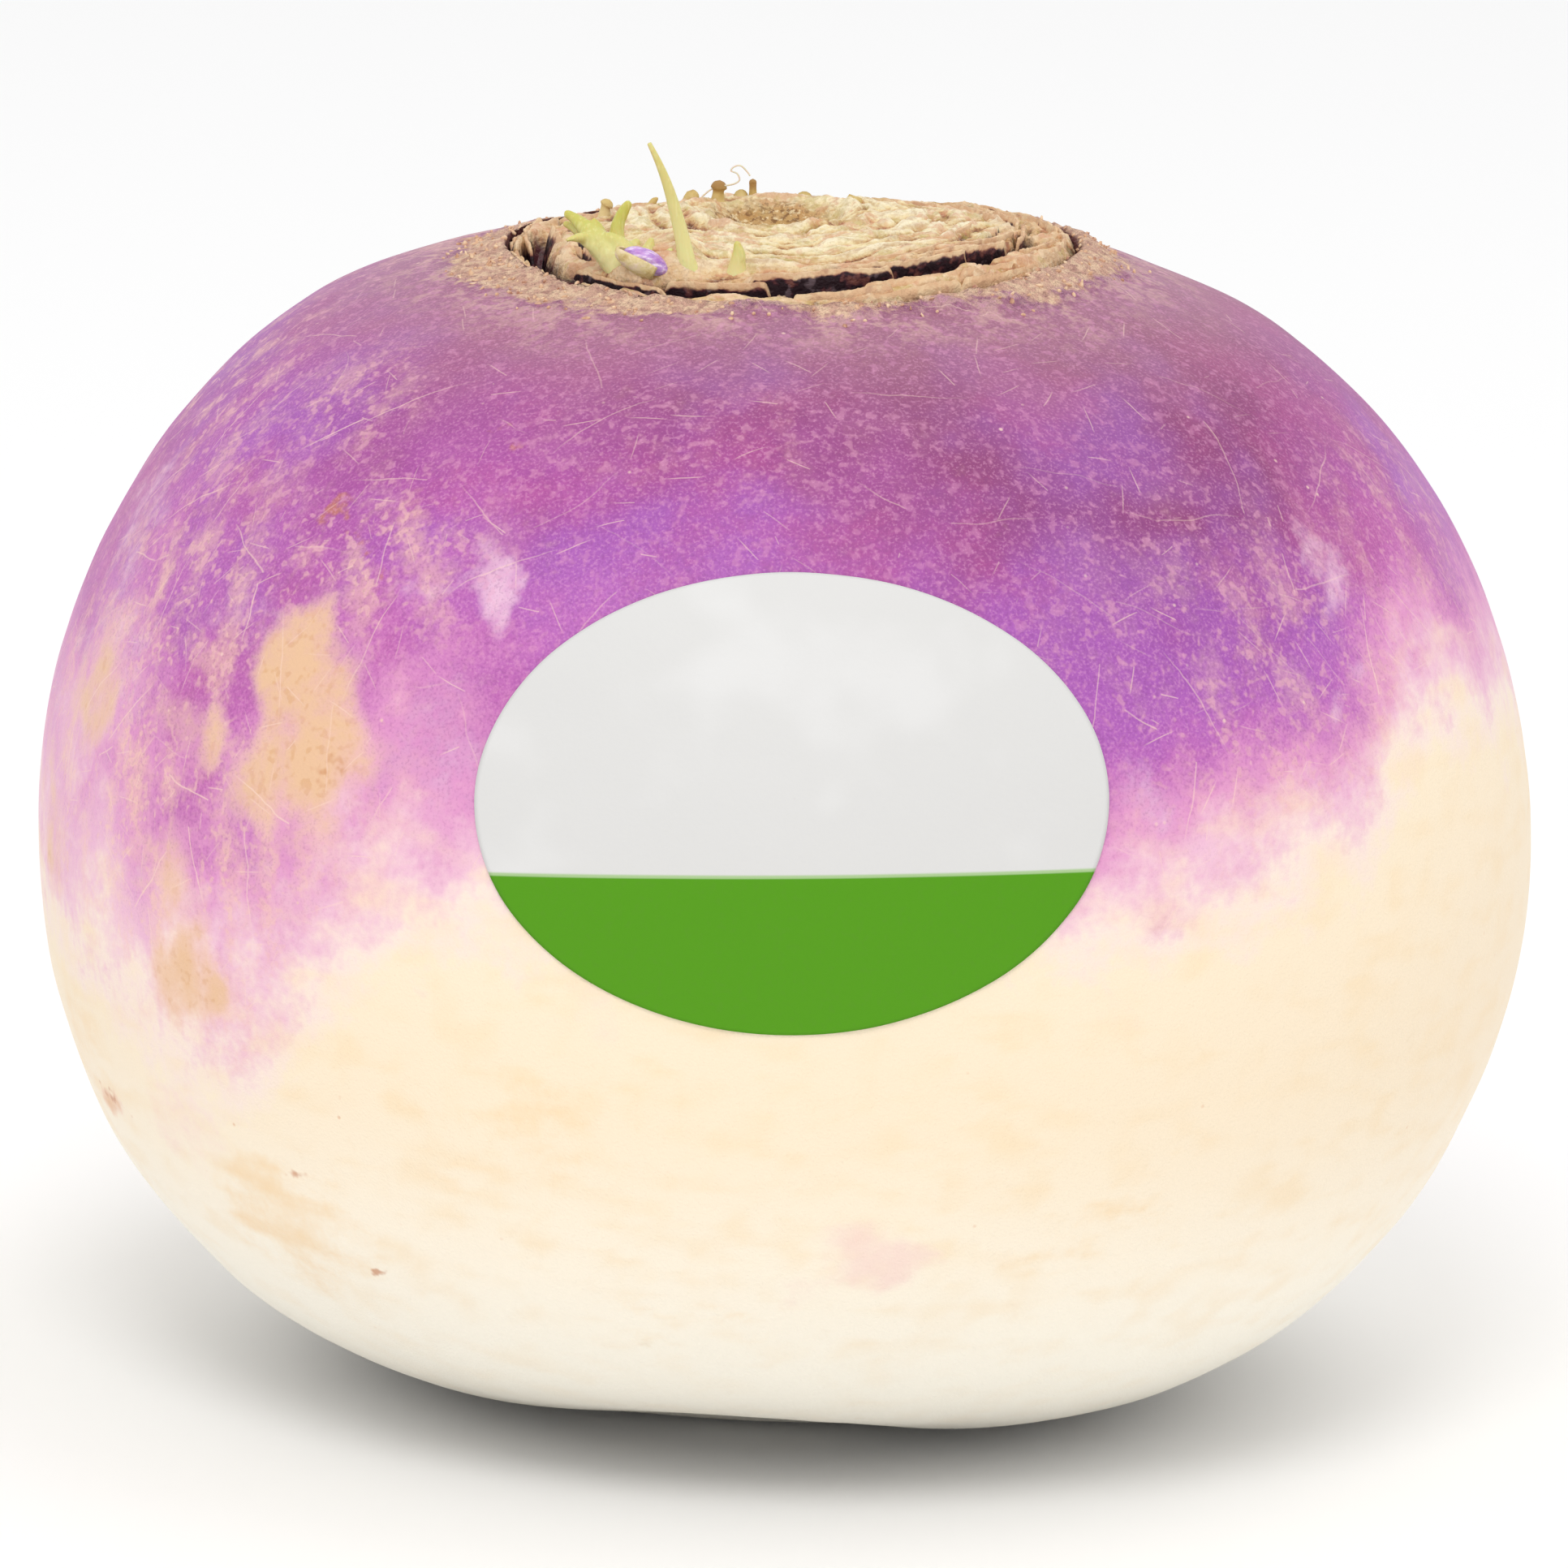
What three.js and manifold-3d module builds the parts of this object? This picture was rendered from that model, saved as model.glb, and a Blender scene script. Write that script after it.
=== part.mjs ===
// A trimmed purple-top turnip with young shoots and a bare oval label.
// Millimetres, +Z up. The origin is the middle of its footprint, on the surface that it rests on,
// and the label faces -Y.
import * as THREE from "three";
import { mergeVertices } from "three/addons/utils/BufferGeometryUtils.js";
import Module from "manifold-3d";

const wasm = await Module();
wasm.setup();

const { smoothstep, lerp } = THREE.MathUtils;

// The round body: its outline as radius and height, from the edge of the foot up to the crown's rim.
const FOOT_RADIUS = 11.5;
const RIM_RADIUS = 16.2;
const RIM_HEIGHT = 64.5;
const SIDE = [
  [FOOT_RADIUS, 0], [16.6, 0.4], [22.2, 1.5], [28.1, 4.1], [33.3, 8.2],
  [37.8, 14.3], [40.9, 22.6], [42.0, 31.5], [41.0, 40.4], [38.1, 48.4],
  [33.6, 55.0], [27.8, 59.9], [21.8, 62.7], [17.6, 64.0], [RIM_RADIUS, RIM_HEIGHT],
];
// The cut end of the tap root, set back in a shallow hollow in the middle of the foot.
const SCAR = [[0, 0.5], [1.8, 0.5], [2.3, 1.1], [3.4, 1.3], [4.8, 0.8], [6.2, 0], [8.8, 0]];
const SIDE_RINGS = 30;
const CROWN_RINGS = 22;
const SEGMENTS = 72;

// The body is not quite round: its radius swells and shrinks by these fractions round the axis.
const SWELL_RIGHT = 0.004;
const SWELL_TWO = 0.008;
const SWELL_THREE = 0.005;
// A faint hollow under the front, which makes the lowest edge run level.
const HOLLOW_DEPTH = 1.5;
const HOLLOW_MIDDLE = [-1, -21];
const HOLLOW_SPREAD = [11, 7];
const HOLLOW_START = 17;
const HOLLOW_TOP = 20;
// A shallow dent low on the left.
const DENT_DEPTH = 0.8;
const DENT_HEIGHT = 13;
const DENT_TALL = 8;
const DENT_WIDE = 0.7;
// The shoulder stands a little higher on the left.
const SHOULDER_RISE = 0.5;
const SHOULDER_HEIGHT = 61.5;
const SHOULDER_TALL = 4;
const SHOULDER_WIDE = 1.1;

// The crown: its middle, and how its rim rises to the right and to the back.
const CROWN_MIDDLE = [-0.8, -0.5];
const CROWN_BLEND_FROM = 45;
const RIM_RISE_RIGHT = 0.6;
const RIM_RISE_BACK = 0.3;
const RIM_SADDLE = 0.2;
// Torn leaf bases stand as rings with slots between them, round a corky dome with a pit. A slot's
// radius wanders by so much round the crown, and its depth shrinks and grows by the share uneven.
const OUTER_SLOT = { radius: 14.6, width: 0.85, depth: 1.9, wander: 0.35, ripple: 0.15, uneven: 0.25 };
const INNER_SLOT = { radius: 12.2, width: 0.6, depth: 0.6, wander: 0.4, ripple: 0, uneven: 0.3 };
const SLOT_TURN = 1;
const DOME_RISE = 1.35;
const DOME_EDGE = 13.4;
const DOME_TOP = 9.4;
// Leaf scars make low waves on the dome, outside the pit.
const SCAR_WAVE = 0.22;
const SCAR_COUNT = 8;
const SCAR_TWIST = 1.2;
const SCAR_FROM = 5;
const SCAR_FULL = 8;
const RIM_FADE = 0.7;
const PIT_MIDDLE = [-2, 2.4];
const PIT_RADIUS = 4.6;
const PIT_WALL = 1.5;
const PIT_DEPTH = 1.3;
// The young shoots grow from a low mound of leaf bases at the front left.
const MOUND_MIDDLE = [-8.9, -10.9];
const MOUND_RISE = 1.4;
const MOUND_TOP = 1.5;
const MOUND_EDGE = 4.2;
// Withered stubs at the back of the crown: x, y, height of the tip, radius at the root.
const STUBS = [
  [-11.5, 3.0, 66.2, 0.5], [-8.9, 4.6, 66.5, 0.35], [-6.9, 6.8, 66.4, 0.6],
  [-5.2, 6.5, 67.0, 0.5], [-3.9, 8.0, 66.3, 0.5], [-3.2, 8.3, 67.0, 0.4],
  [-2.2, 8.6, 66.5, 0.4], [-0.3, 8.6, 66.3, 0.8], [2.4, 8.0, 66.4, 0.9],
];
const STUB_ROOT = 64.6;
const STUB_TIP_RADIUS = 0.2;
const STUB_SIDES = 6;

// What grows on the crown stands in sockets with this much room all round.
const GAP = 0.3;
const SOCKET_FLOOR = 62.6;
const SOCKET_TOP = 68;
const SHOOT_ROOT = SOCKET_FLOOR + GAP;
const SOCKET_SIDES = 12;
const TALL_SHOOT = {
  root: [-6.3, -11.5, SHOOT_ROOT],
  tip: [-8.9, -11.8, 71.9],
  bow: [0.5, 0, 0],
  radii: [0.62, 0.16],
};
const SHORT_SHOOT = {
  root: [-3.8, -11.5, SHOOT_ROOT],
  tip: [-3.9, -11.5, 66.6],
  bow: [0.1, 0, 0],
  radii: [0.7, 0.22],
};
// A horn keeps its last thickness up to this share of its length, and then closes.
const HORN_FULL = 0.97;
const TUFT_ROOT = { x: -10.9, y: -9.2, radius: 0.85, topRadius: 0.6, top: 65.4 };
const TUFT_FINGERS = [
  { tip: [-13.4, -8.2, 67.2], bow: [0.2, 0, 0.3], radii: [0.7, 0.28] },
  { tip: [-13.0, -7.4, 66.3], bow: [0.1, 0, 0.3], radii: [0.6, 0.22] },
  { tip: [-12.5, -9.4, 66.2], bow: [0, -0.1, 0.3], radii: [0.6, 0.25] },
  { tip: [-10.1, -8.4, 68.0], bow: [0.3, 0, 0], radii: [0.6, 0.28] },
  { tip: [-11.6, -9.9, 66.8], bow: [0, -0.2, 0], radii: [0.6, 0.25] },
];
const FINGER_START = 64.6;
const BUD = { middle: [-8.9, -11.7, 65.4], length: 2.9, thickness: 1.3, slope: 0.32, heading: -0.12 };
const BUD_SIDES = 12;
const BUD_RINGS = 8;

// The stick-on label: an oval, measured along the skin.
const LABEL_HALF_WIDTH = 17.2;
const LABEL_HALF_HEIGHT = 12.6;
const LABEL_MIDDLE_HEIGHT = 41.7;
const LABEL_OFF_CENTRE = 0.6;
const LABEL_TURN = THREE.MathUtils.degToRad(2.5);
const LABEL_THICKNESS = 0.6;
const LABEL_RINGS = 6;
const LABEL_SEGMENTS = 48;
const LABEL_SEARCH_STEP = 0.001;

const side = new THREE.SplineCurve(SIDE.map(([radius, height]) => new THREE.Vector2(radius, height)));
side.arcLengthDivisions = 2000;
const sideLength = side.getLength();

function bump(distance, width) {
  return Math.exp(-((distance / width) ** 2));
}

// Depth of a slot round the crown, at a distance and direction from the crown's middle.
function slotDepth({ radius, width, depth, wander, ripple, uneven: share }, distance, angle) {
  const middle = radius + wander * Math.sin(2 * angle + SLOT_TURN) + ripple * Math.sin(5 * angle);
  const here = depth * (1 - share + share * Math.cos(3 * angle + 2 * SLOT_TURN));
  return here * bump(distance - middle, width);
}

// Height of the crown's surface over its rim plane, at a distance and direction from the crown's middle.
function crownRelief(distance, angle) {
  const x = distance * Math.cos(angle) + CROWN_MIDDLE[0];
  const y = distance * Math.sin(angle) + CROWN_MIDDLE[1];
  const slots = slotDepth(OUTER_SLOT, distance, angle) + slotDepth(INNER_SLOT, distance, angle);
  const dome = DOME_RISE * (1 - smoothstep(distance, DOME_TOP, DOME_EDGE));
  const scars = Math.sin(SCAR_COUNT * angle + SCAR_TWIST * distance);
  const wave = SCAR_WAVE * scars * smoothstep(distance, SCAR_FROM, SCAR_FULL);
  const pitDistance = Math.hypot(x - PIT_MIDDLE[0], y - PIT_MIDDLE[1]);
  const pit = PIT_DEPTH * (1 - smoothstep(pitDistance, PIT_RADIUS - PIT_WALL, PIT_RADIUS));
  const moundDistance = Math.hypot(x - MOUND_MIDDLE[0], y - MOUND_MIDDLE[1]);
  const mound = MOUND_RISE * (1 - smoothstep(moundDistance, MOUND_TOP, MOUND_EDGE));
  return (dome + wave + mound - slots - pit) * smoothstep(RIM_RADIUS - distance, 0, RIM_FADE);
}

// Turns a point of the plain turned body into the turnip's own uneven shape.
function uneven(point) {
  const angle = Math.atan2(point.y, point.x);
  const radius = Math.hypot(point.x, point.y);
  const swell = 1 + SWELL_RIGHT * Math.cos(angle) + SWELL_TWO * Math.sin(2 * angle)
    - SWELL_THREE * Math.sin(3 * angle);
  const nearCrown = smoothstep(point.z, CROWN_BLEND_FROM, RIM_HEIGHT);
  const reach = Math.min(radius / RIM_RADIUS, 1);
  const rise = RIM_RISE_RIGHT * Math.cos(angle) + RIM_RISE_BACK * Math.sin(angle)
    + RIM_SADDLE * Math.cos(2 * angle);
  const under = smoothstep(radius, FOOT_RADIUS, HOLLOW_START) * (1 - smoothstep(point.z, 0, HOLLOW_TOP));
  const hollow = HOLLOW_DEPTH * under * bump(point.x - HOLLOW_MIDDLE[0], HOLLOW_SPREAD[0])
    * bump(point.y - HOLLOW_MIDDLE[1], HOLLOW_SPREAD[1]);
  const fromLeft = Math.acos(-Math.cos(angle));
  const dent = DENT_DEPTH * bump(point.z - DENT_HEIGHT, DENT_TALL) * bump(fromLeft, DENT_WIDE) * under;
  const shoulder = SHOULDER_RISE * reach * bump(point.z - SHOULDER_HEIGHT, SHOULDER_TALL)
    * bump(fromLeft, SHOULDER_WIDE);
  const grown = swell - dent / Math.max(radius, FOOT_RADIUS);
  point.x = point.x * grown + nearCrown * CROWN_MIDDLE[0];
  point.y = point.y * grown + nearCrown * CROWN_MIDDLE[1];
  point.z += nearCrown * reach * rise + hollow + shoulder;
  return point;
}

function reshape(geometry, change) {
  const positions = geometry.attributes.position;
  const point = new THREE.Vector3();
  for (let i = 0; i < positions.count; i += 1) {
    change(point.fromBufferAttribute(positions, i));
    positions.setXYZ(i, point.x, point.y, point.z);
  }
  return geometry;
}

function turned(profile, segments) {
  const points = profile.map(([radius, height]) => new THREE.Vector2(radius, height));
  return new THREE.LatheGeometry(points, segments).rotateX(Math.PI / 2);
}

// A closed solid for joining and cutting, with shared corners merged and flat scraps left out.
function solidOf(geometry) {
  geometry.deleteAttribute("normal");
  geometry.deleteAttribute("uv");
  const merged = mergeVertices(geometry, 1e-4);
  const index = merged.index.array;
  const triangles = [];
  for (let i = 0; i < index.length; i += 3) {
    const [a, b, c] = [index[i], index[i + 1], index[i + 2]];
    if (a !== b && b !== c && a !== c) {
      triangles.push(a, b, c);
    }
  }
  return new wasm.Manifold(new wasm.Mesh({
    numProp: 3,
    vertProperties: Float32Array.from(merged.attributes.position.array),
    triVerts: Uint32Array.from(triangles),
  }));
}

function geometryOf(solid) {
  const mesh = solid.getMesh();
  const geometry = new THREE.BufferGeometry();
  geometry.setAttribute("position", new THREE.BufferAttribute(mesh.vertProperties, 3));
  geometry.setIndex(new THREE.BufferAttribute(mesh.triVerts, 1));
  geometry.computeVertexNormals();
  return geometry;
}

// A tapered round horn from its root to its tip, bowed sideways in the middle.
function horn({ root, tip, bow, radii }, sides = 8, steps = 6) {
  const profile = [[0, 0]];
  for (let i = 0; i <= steps; i += 1) {
    profile.push([lerp(radii[0], radii[1], i / steps), (HORN_FULL * i) / steps]);
  }
  profile.push([0, 1]);
  return reshape(turned(profile, sides), (point) => {
    const along = point.z;
    const bend = Math.sin(Math.PI * along);
    point.x += lerp(root[0], tip[0], along) + bow[0] * bend;
    point.y += lerp(root[1], tip[1], along) + bow[1] * bend;
    point.z = lerp(root[2], tip[2], along) + bow[2] * bend;
  });
}

function socket(x, y, radius) {
  const height = SOCKET_TOP - SOCKET_FLOOR;
  const hole = new THREE.CylinderGeometry(radius, radius, height, SOCKET_SIDES).rotateX(Math.PI / 2);
  return hole.translate(x, y, SOCKET_FLOOR + height / 2);
}

function almond(grow) {
  const { middle, length, thickness, slope, heading } = BUD;
  const shape = new THREE.SphereGeometry(0.5, BUD_SIDES, BUD_RINGS);
  shape.scale(length + 2 * grow, thickness + 2 * grow, thickness + 2 * grow);
  return shape.rotateY(slope).rotateZ(heading).translate(...middle);
}

function rootGeometry() {
  const sideRings = side.getSpacedPoints(SIDE_RINGS).map((point) => [point.x, point.y]);
  const crownRings = [];
  for (let i = 1; i <= CROWN_RINGS; i += 1) {
    crownRings.push([RIM_RADIUS * (1 - i / CROWN_RINGS), RIM_HEIGHT]);
  }
  const body = turned([...SCAR, ...sideRings, ...crownRings], SEGMENTS);
  reshape(body, (point) => {
    const distance = Math.hypot(point.x, point.y);
    const onCrown = point.z > RIM_HEIGHT - 0.01 && distance < RIM_RADIUS - 0.01;
    const relief = onCrown ? crownRelief(distance, Math.atan2(point.y, point.x)) : 0;
    uneven(point);
    point.z += relief;
  });
  let solid = solidOf(body);
  for (const [x, y, top, radius] of STUBS) {
    const radii = [radius, STUB_TIP_RADIUS];
    const stub = horn({ root: [x, y, STUB_ROOT], tip: [x, y, top], bow: [0, 0, 0], radii }, STUB_SIDES, 2);
    solid = solid.add(solidOf(stub));
  }
  for (const { root, radii } of [TALL_SHOOT, SHORT_SHOOT]) {
    solid = solid.subtract(solidOf(socket(root[0], root[1], radii[0] + GAP)));
  }
  solid = solid.subtract(solidOf(socket(TUFT_ROOT.x, TUFT_ROOT.y, TUFT_ROOT.radius + GAP)));
  return geometryOf(solid.subtract(solidOf(almond(GAP))));
}

function tuftGeometry() {
  const { x, y, radius, topRadius, top } = TUFT_ROOT;
  const radii = [radius, topRadius];
  let solid = solidOf(horn({ root: [x, y, SHOOT_ROOT], tip: [x, y, top], bow: [0, 0, 0], radii }));
  for (const finger of TUFT_FINGERS) {
    solid = solid.add(solidOf(horn({ root: [x, y, FINGER_START], ...finger })));
  }
  return geometryOf(solid);
}

// The label's oval is laid on the skin: its width follows the body round, its height runs up the outline.
function labelGeometry() {
  const profile = [];
  for (let i = 0; i <= LABEL_RINGS; i += 1) {
    profile.push([i / LABEL_RINGS, 0]);
  }
  for (let i = LABEL_RINGS; i >= 0; i -= 1) {
    profile.push([i / LABEL_RINGS, 1]);
  }
  let middleAt = 0;
  while (side.getPointAt(middleAt).y < LABEL_MIDDLE_HEIGHT) {
    middleAt += LABEL_SEARCH_STEP;
  }
  const middleRadius = side.getPointAt(middleAt).x;
  return reshape(turned(profile, LABEL_SEGMENTS), (point) => {
    const across = point.x * LABEL_HALF_WIDTH;
    const up = point.y * LABEL_HALF_HEIGHT;
    const turnedAcross = across * Math.cos(LABEL_TURN) - up * Math.sin(LABEL_TURN) + LABEL_OFF_CENTRE;
    const turnedUp = across * Math.sin(LABEL_TURN) + up * Math.cos(LABEL_TURN);
    const at = middleAt + turnedUp / sideLength;
    const onSide = side.getPointAt(at);
    const tangent = side.getTangentAt(at);
    const lift = GAP + point.z * LABEL_THICKNESS;
    const radius = onSide.x + lift * tangent.y;
    const angle = turnedAcross / middleRadius - Math.PI / 2;
    point.set(radius * Math.cos(angle), radius * Math.sin(angle), onSide.y - lift * tangent.x);
    uneven(point);
  });
}

const turnip = new THREE.Group();

function addPiece(name, geometry, color, roughness) {
  const mesh = new THREE.Mesh(geometry, new THREE.MeshStandardMaterial({ color, roughness, metalness: 0 }));
  mesh.name = name;
  turnip.add(mesh);
}

addPiece("root", rootGeometry(), 0xcf9fc4, 0.5);
addPiece("tall_shoot", horn(TALL_SHOOT, 10, 12), 0xdfe08c, 0.5);
addPiece("short_shoot", horn(SHORT_SHOOT, 8, 4), 0xc8c870, 0.55);
addPiece("leaf_tuft", tuftGeometry(), 0xc9cf6e, 0.55);
addPiece("lilac_bud", almond(0), 0xc9a2dc, 0.5);
addPiece("label", labelGeometry(), 0xe2e1df, 0.4);

export default turnip;
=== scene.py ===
# %% [markdown]
# # A market turnip
#
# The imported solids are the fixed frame, and every piece here is made in their place. Sizes are
# written in millimetres, and the meshes are in metres. This lesson gives the root its fine skin,
# its torn crown, its young shoots and its bare label.

# %% Load the frame
import math

import bmesh
import bpy
import numpy as np
from mathutils import Matrix, Vector, noise


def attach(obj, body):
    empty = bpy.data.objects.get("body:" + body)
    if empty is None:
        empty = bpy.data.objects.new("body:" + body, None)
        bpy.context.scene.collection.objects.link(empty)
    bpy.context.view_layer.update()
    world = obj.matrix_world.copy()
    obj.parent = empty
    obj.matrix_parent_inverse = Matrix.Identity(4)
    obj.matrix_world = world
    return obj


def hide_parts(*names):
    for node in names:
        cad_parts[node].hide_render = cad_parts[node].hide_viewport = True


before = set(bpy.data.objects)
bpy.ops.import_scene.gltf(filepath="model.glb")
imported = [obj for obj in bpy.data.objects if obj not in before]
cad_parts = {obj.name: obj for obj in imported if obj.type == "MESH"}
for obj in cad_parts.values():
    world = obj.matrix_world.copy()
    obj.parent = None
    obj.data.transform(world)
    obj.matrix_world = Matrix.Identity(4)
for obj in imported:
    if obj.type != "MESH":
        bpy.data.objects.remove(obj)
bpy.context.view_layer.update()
MM = 0.001

# %% [markdown]
# ## The camera
#
# The photograph looks down on the turnip by 12 degrees, through a long lens, and was taken with
# the camera rolled a little. A long lens from 0.6 m keeps the same mild perspective.

# %% Camera
CAMERA_DISTANCE = 0.6
CAMERA_ELEVATION = math.radians(12)
CAMERA_ROLL = math.radians(2.5)
CAMERA_AIM = Vector((0, 0, 0.03386))
CAMERA_LENS = 243.7
CAMERA_SENSOR = 36


def add_camera():
    camera = bpy.data.objects.new("camera", bpy.data.cameras.new("camera"))
    bpy.context.scene.collection.objects.link(camera)
    bpy.context.scene.camera = camera
    camera.data.lens = CAMERA_LENS
    camera.data.sensor_width = CAMERA_SENSOR
    camera.data.clip_start = 0.01
    back = Vector((0, -math.cos(CAMERA_ELEVATION), math.sin(CAMERA_ELEVATION)))
    turn = back.to_track_quat("Z", "Y").to_matrix().to_4x4()
    roll = Matrix.Rotation(CAMERA_ROLL, 4, "Z")
    camera.matrix_world = Matrix.Translation(CAMERA_AIM + back * CAMERA_DISTANCE) @ turn @ roll
    return camera


print("camera at", [round(v, 3) for v in add_camera().matrix_world.translation])

# %% [markdown]
# ## The measures of the root
#
# The root is a turned shape that has been pushed a little out of round. The outline is a short
# list of radius and height in millimetres, the same one that the solids were made from, so the
# fine skin lies where the solid is.

# %% Measures of the root
FOOT_RADIUS = 11.5
RIM_RADIUS = 16.2
RIM_HEIGHT = 64.5
SIDE = [
    (FOOT_RADIUS, 0), (16.6, 0.4), (22.2, 1.5), (28.1, 4.1), (33.3, 8.2), (37.8, 14.3), (40.9, 22.6),
    (42.0, 31.5), (41.0, 40.4), (38.1, 48.4), (33.6, 55.0), (27.8, 59.9), (21.8, 62.7), (17.6, 64.0),
    (RIM_RADIUS, RIM_HEIGHT)]
SCAR = [(0, 0.5), (1.8, 0.5), (2.3, 1.1), (3.4, 1.3), (4.8, 0.8), (6.2, 0)]
SWELL_RIGHT = 0.004
SWELL_TWO = 0.008
SWELL_THREE = 0.005
HOLLOW_DEPTH = 1.5
HOLLOW_MIDDLE = (-1, -21)
HOLLOW_SPREAD = (11, 7)
HOLLOW_START = 17
HOLLOW_TOP = 20
DENT_DEPTH = 0.8
DENT_HEIGHT = 13
DENT_TALL = 8
DENT_WIDE = 0.7
SHOULDER_RISE = 0.5
SHOULDER_HEIGHT = 61.5
SHOULDER_TALL = 4
SHOULDER_WIDE = 1.1
CROWN_MIDDLE = (-0.8, -0.5)
CROWN_BLEND_FROM = 45
RIM_RISE_RIGHT = 0.6
RIM_RISE_BACK = 0.3
RIM_SADDLE = 0.2


def smoothstep(value, low, high):
    t = np.clip((value - low) / (high - low), 0, 1)
    return t * t * (3 - 2 * t)


def bump(distance, width):
    return np.exp(-(distance / width) ** 2)


def catmull_rom(points, steps):
    """A dense smooth line through a few points."""
    points = np.array(points, float)
    last = len(points) - 1
    t = np.linspace(0, 1, steps, endpoint=False)[:, None]
    spans = []
    for i in range(last):
        start, end = points[i], points[i + 1]
        lean_in = (end - points[max(i - 1, 0)]) / 2
        lean_out = (points[min(i + 2, last)] - start) / 2
        cubic = 2 * start - 2 * end + lean_in + lean_out
        square = 3 * end - 3 * start - 2 * lean_in - lean_out
        spans.append(cubic * t ** 3 + square * t ** 2 + lean_in * t + start)
    return np.vstack([*spans, points[-1:]])


def uneven(x, y, z):
    """Pushes points of the plain turned body into the turnip's own shape."""
    angle = np.arctan2(y, x)
    radius = np.hypot(x, y)
    swell = 1 + SWELL_RIGHT * np.cos(angle)
    swell = swell + SWELL_TWO * np.sin(2 * angle) - SWELL_THREE * np.sin(3 * angle)
    near_crown = smoothstep(z, CROWN_BLEND_FROM, RIM_HEIGHT)
    reach = np.minimum(radius / RIM_RADIUS, 1)
    rise = RIM_RISE_RIGHT * np.cos(angle) + RIM_RISE_BACK * np.sin(angle) + RIM_SADDLE * np.cos(2 * angle)
    under = smoothstep(radius, FOOT_RADIUS, HOLLOW_START) * (1 - smoothstep(z, 0, HOLLOW_TOP))
    hollow = HOLLOW_DEPTH * under * bump(x - HOLLOW_MIDDLE[0], HOLLOW_SPREAD[0])
    hollow = hollow * bump(y - HOLLOW_MIDDLE[1], HOLLOW_SPREAD[1])
    from_left = np.arccos(np.clip(-np.cos(angle), -1, 1))
    dent = DENT_DEPTH * bump(z - DENT_HEIGHT, DENT_TALL) * bump(from_left, DENT_WIDE) * under
    shoulder = SHOULDER_RISE * bump(z - SHOULDER_HEIGHT, SHOULDER_TALL)
    shoulder = shoulder * bump(from_left, SHOULDER_WIDE) * reach
    grown = swell - dent / np.maximum(radius, FOOT_RADIUS)
    height = z + near_crown * reach * rise + hollow + shoulder
    return x * grown + near_crown * CROWN_MIDDLE[0], y * grown + near_crown * CROWN_MIDDLE[1], height


SIDE_LINE = catmull_rom(SIDE, 60)
SIDE_LENGTHS = np.r_[0, np.cumsum(np.hypot(*np.diff(SIDE_LINE, axis=0).T))]
print("side of the root, along its curve:", round(SIDE_LENGTHS[-1], 1), "mm")

# %% [markdown]
# ## Meshes from rows of points
#
# Most pieces here are grids: rings round an axis, or rows of a sheet. One helper joins rings into
# faces, and another makes the mesh and gives it a material. Points are in millimetres, and the
# mesh is in metres.

# %% Mesh helpers
def clouds(points, size, octaves=3, seed=0.0):
    """Soft noise from about -1 to 1 at each point, in lumps of a size in millimetres."""
    shift = Vector((seed, 2.3 * seed, -1.7 * seed))
    scaled = points / size
    return np.array([noise.fractal(Vector(p) + shift, 1.0, 2.0, octaves) for p in scaled])


def ring_faces(rings, around):
    """Faces that join rings of points, each ring with the same number of points round it."""
    here = np.arange(around)
    ahead = (here + 1) % around
    first = np.stack([here, ahead, ahead + around, here + around], 1)
    return np.vstack([first + ring * around for ring in range(rings - 1)])


def make_piece(name, points, faces, material, values=None):
    """A piece from points in millimetres, with values kept on its points."""
    mesh = bpy.data.meshes.new(name)
    mesh.from_pydata((np.asarray(points) * MM).tolist(), [], [tuple(face) for face in faces])
    mesh.validate()
    mesh.shade_smooth()
    for key, numbers in (values or {}).items():
        attribute = mesh.attributes.new(key, "FLOAT", "POINT")
        attribute.data.foreach_set("value", np.asarray(numbers, np.float32))
    piece = bpy.data.objects.new(name, mesh)
    bpy.context.scene.collection.objects.link(piece)
    mesh.materials.append(material)
    return piece


def mend(piece, gap=1e-7):
    """Merges doubled points and turns all faces outwards."""
    work = bmesh.new()
    work.from_mesh(piece.data)
    bmesh.ops.remove_doubles(work, verts=work.verts, dist=gap)
    bmesh.ops.recalc_face_normals(work, faces=work.faces)
    work.to_mesh(piece.data)
    work.free()
    return piece


# %% [markdown]
# ## Writing shader maths
#
# A material is a small sum. This class wraps a node's output, so that an expression on it adds
# the Math nodes, and its one method `node` adds any other node.

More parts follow.
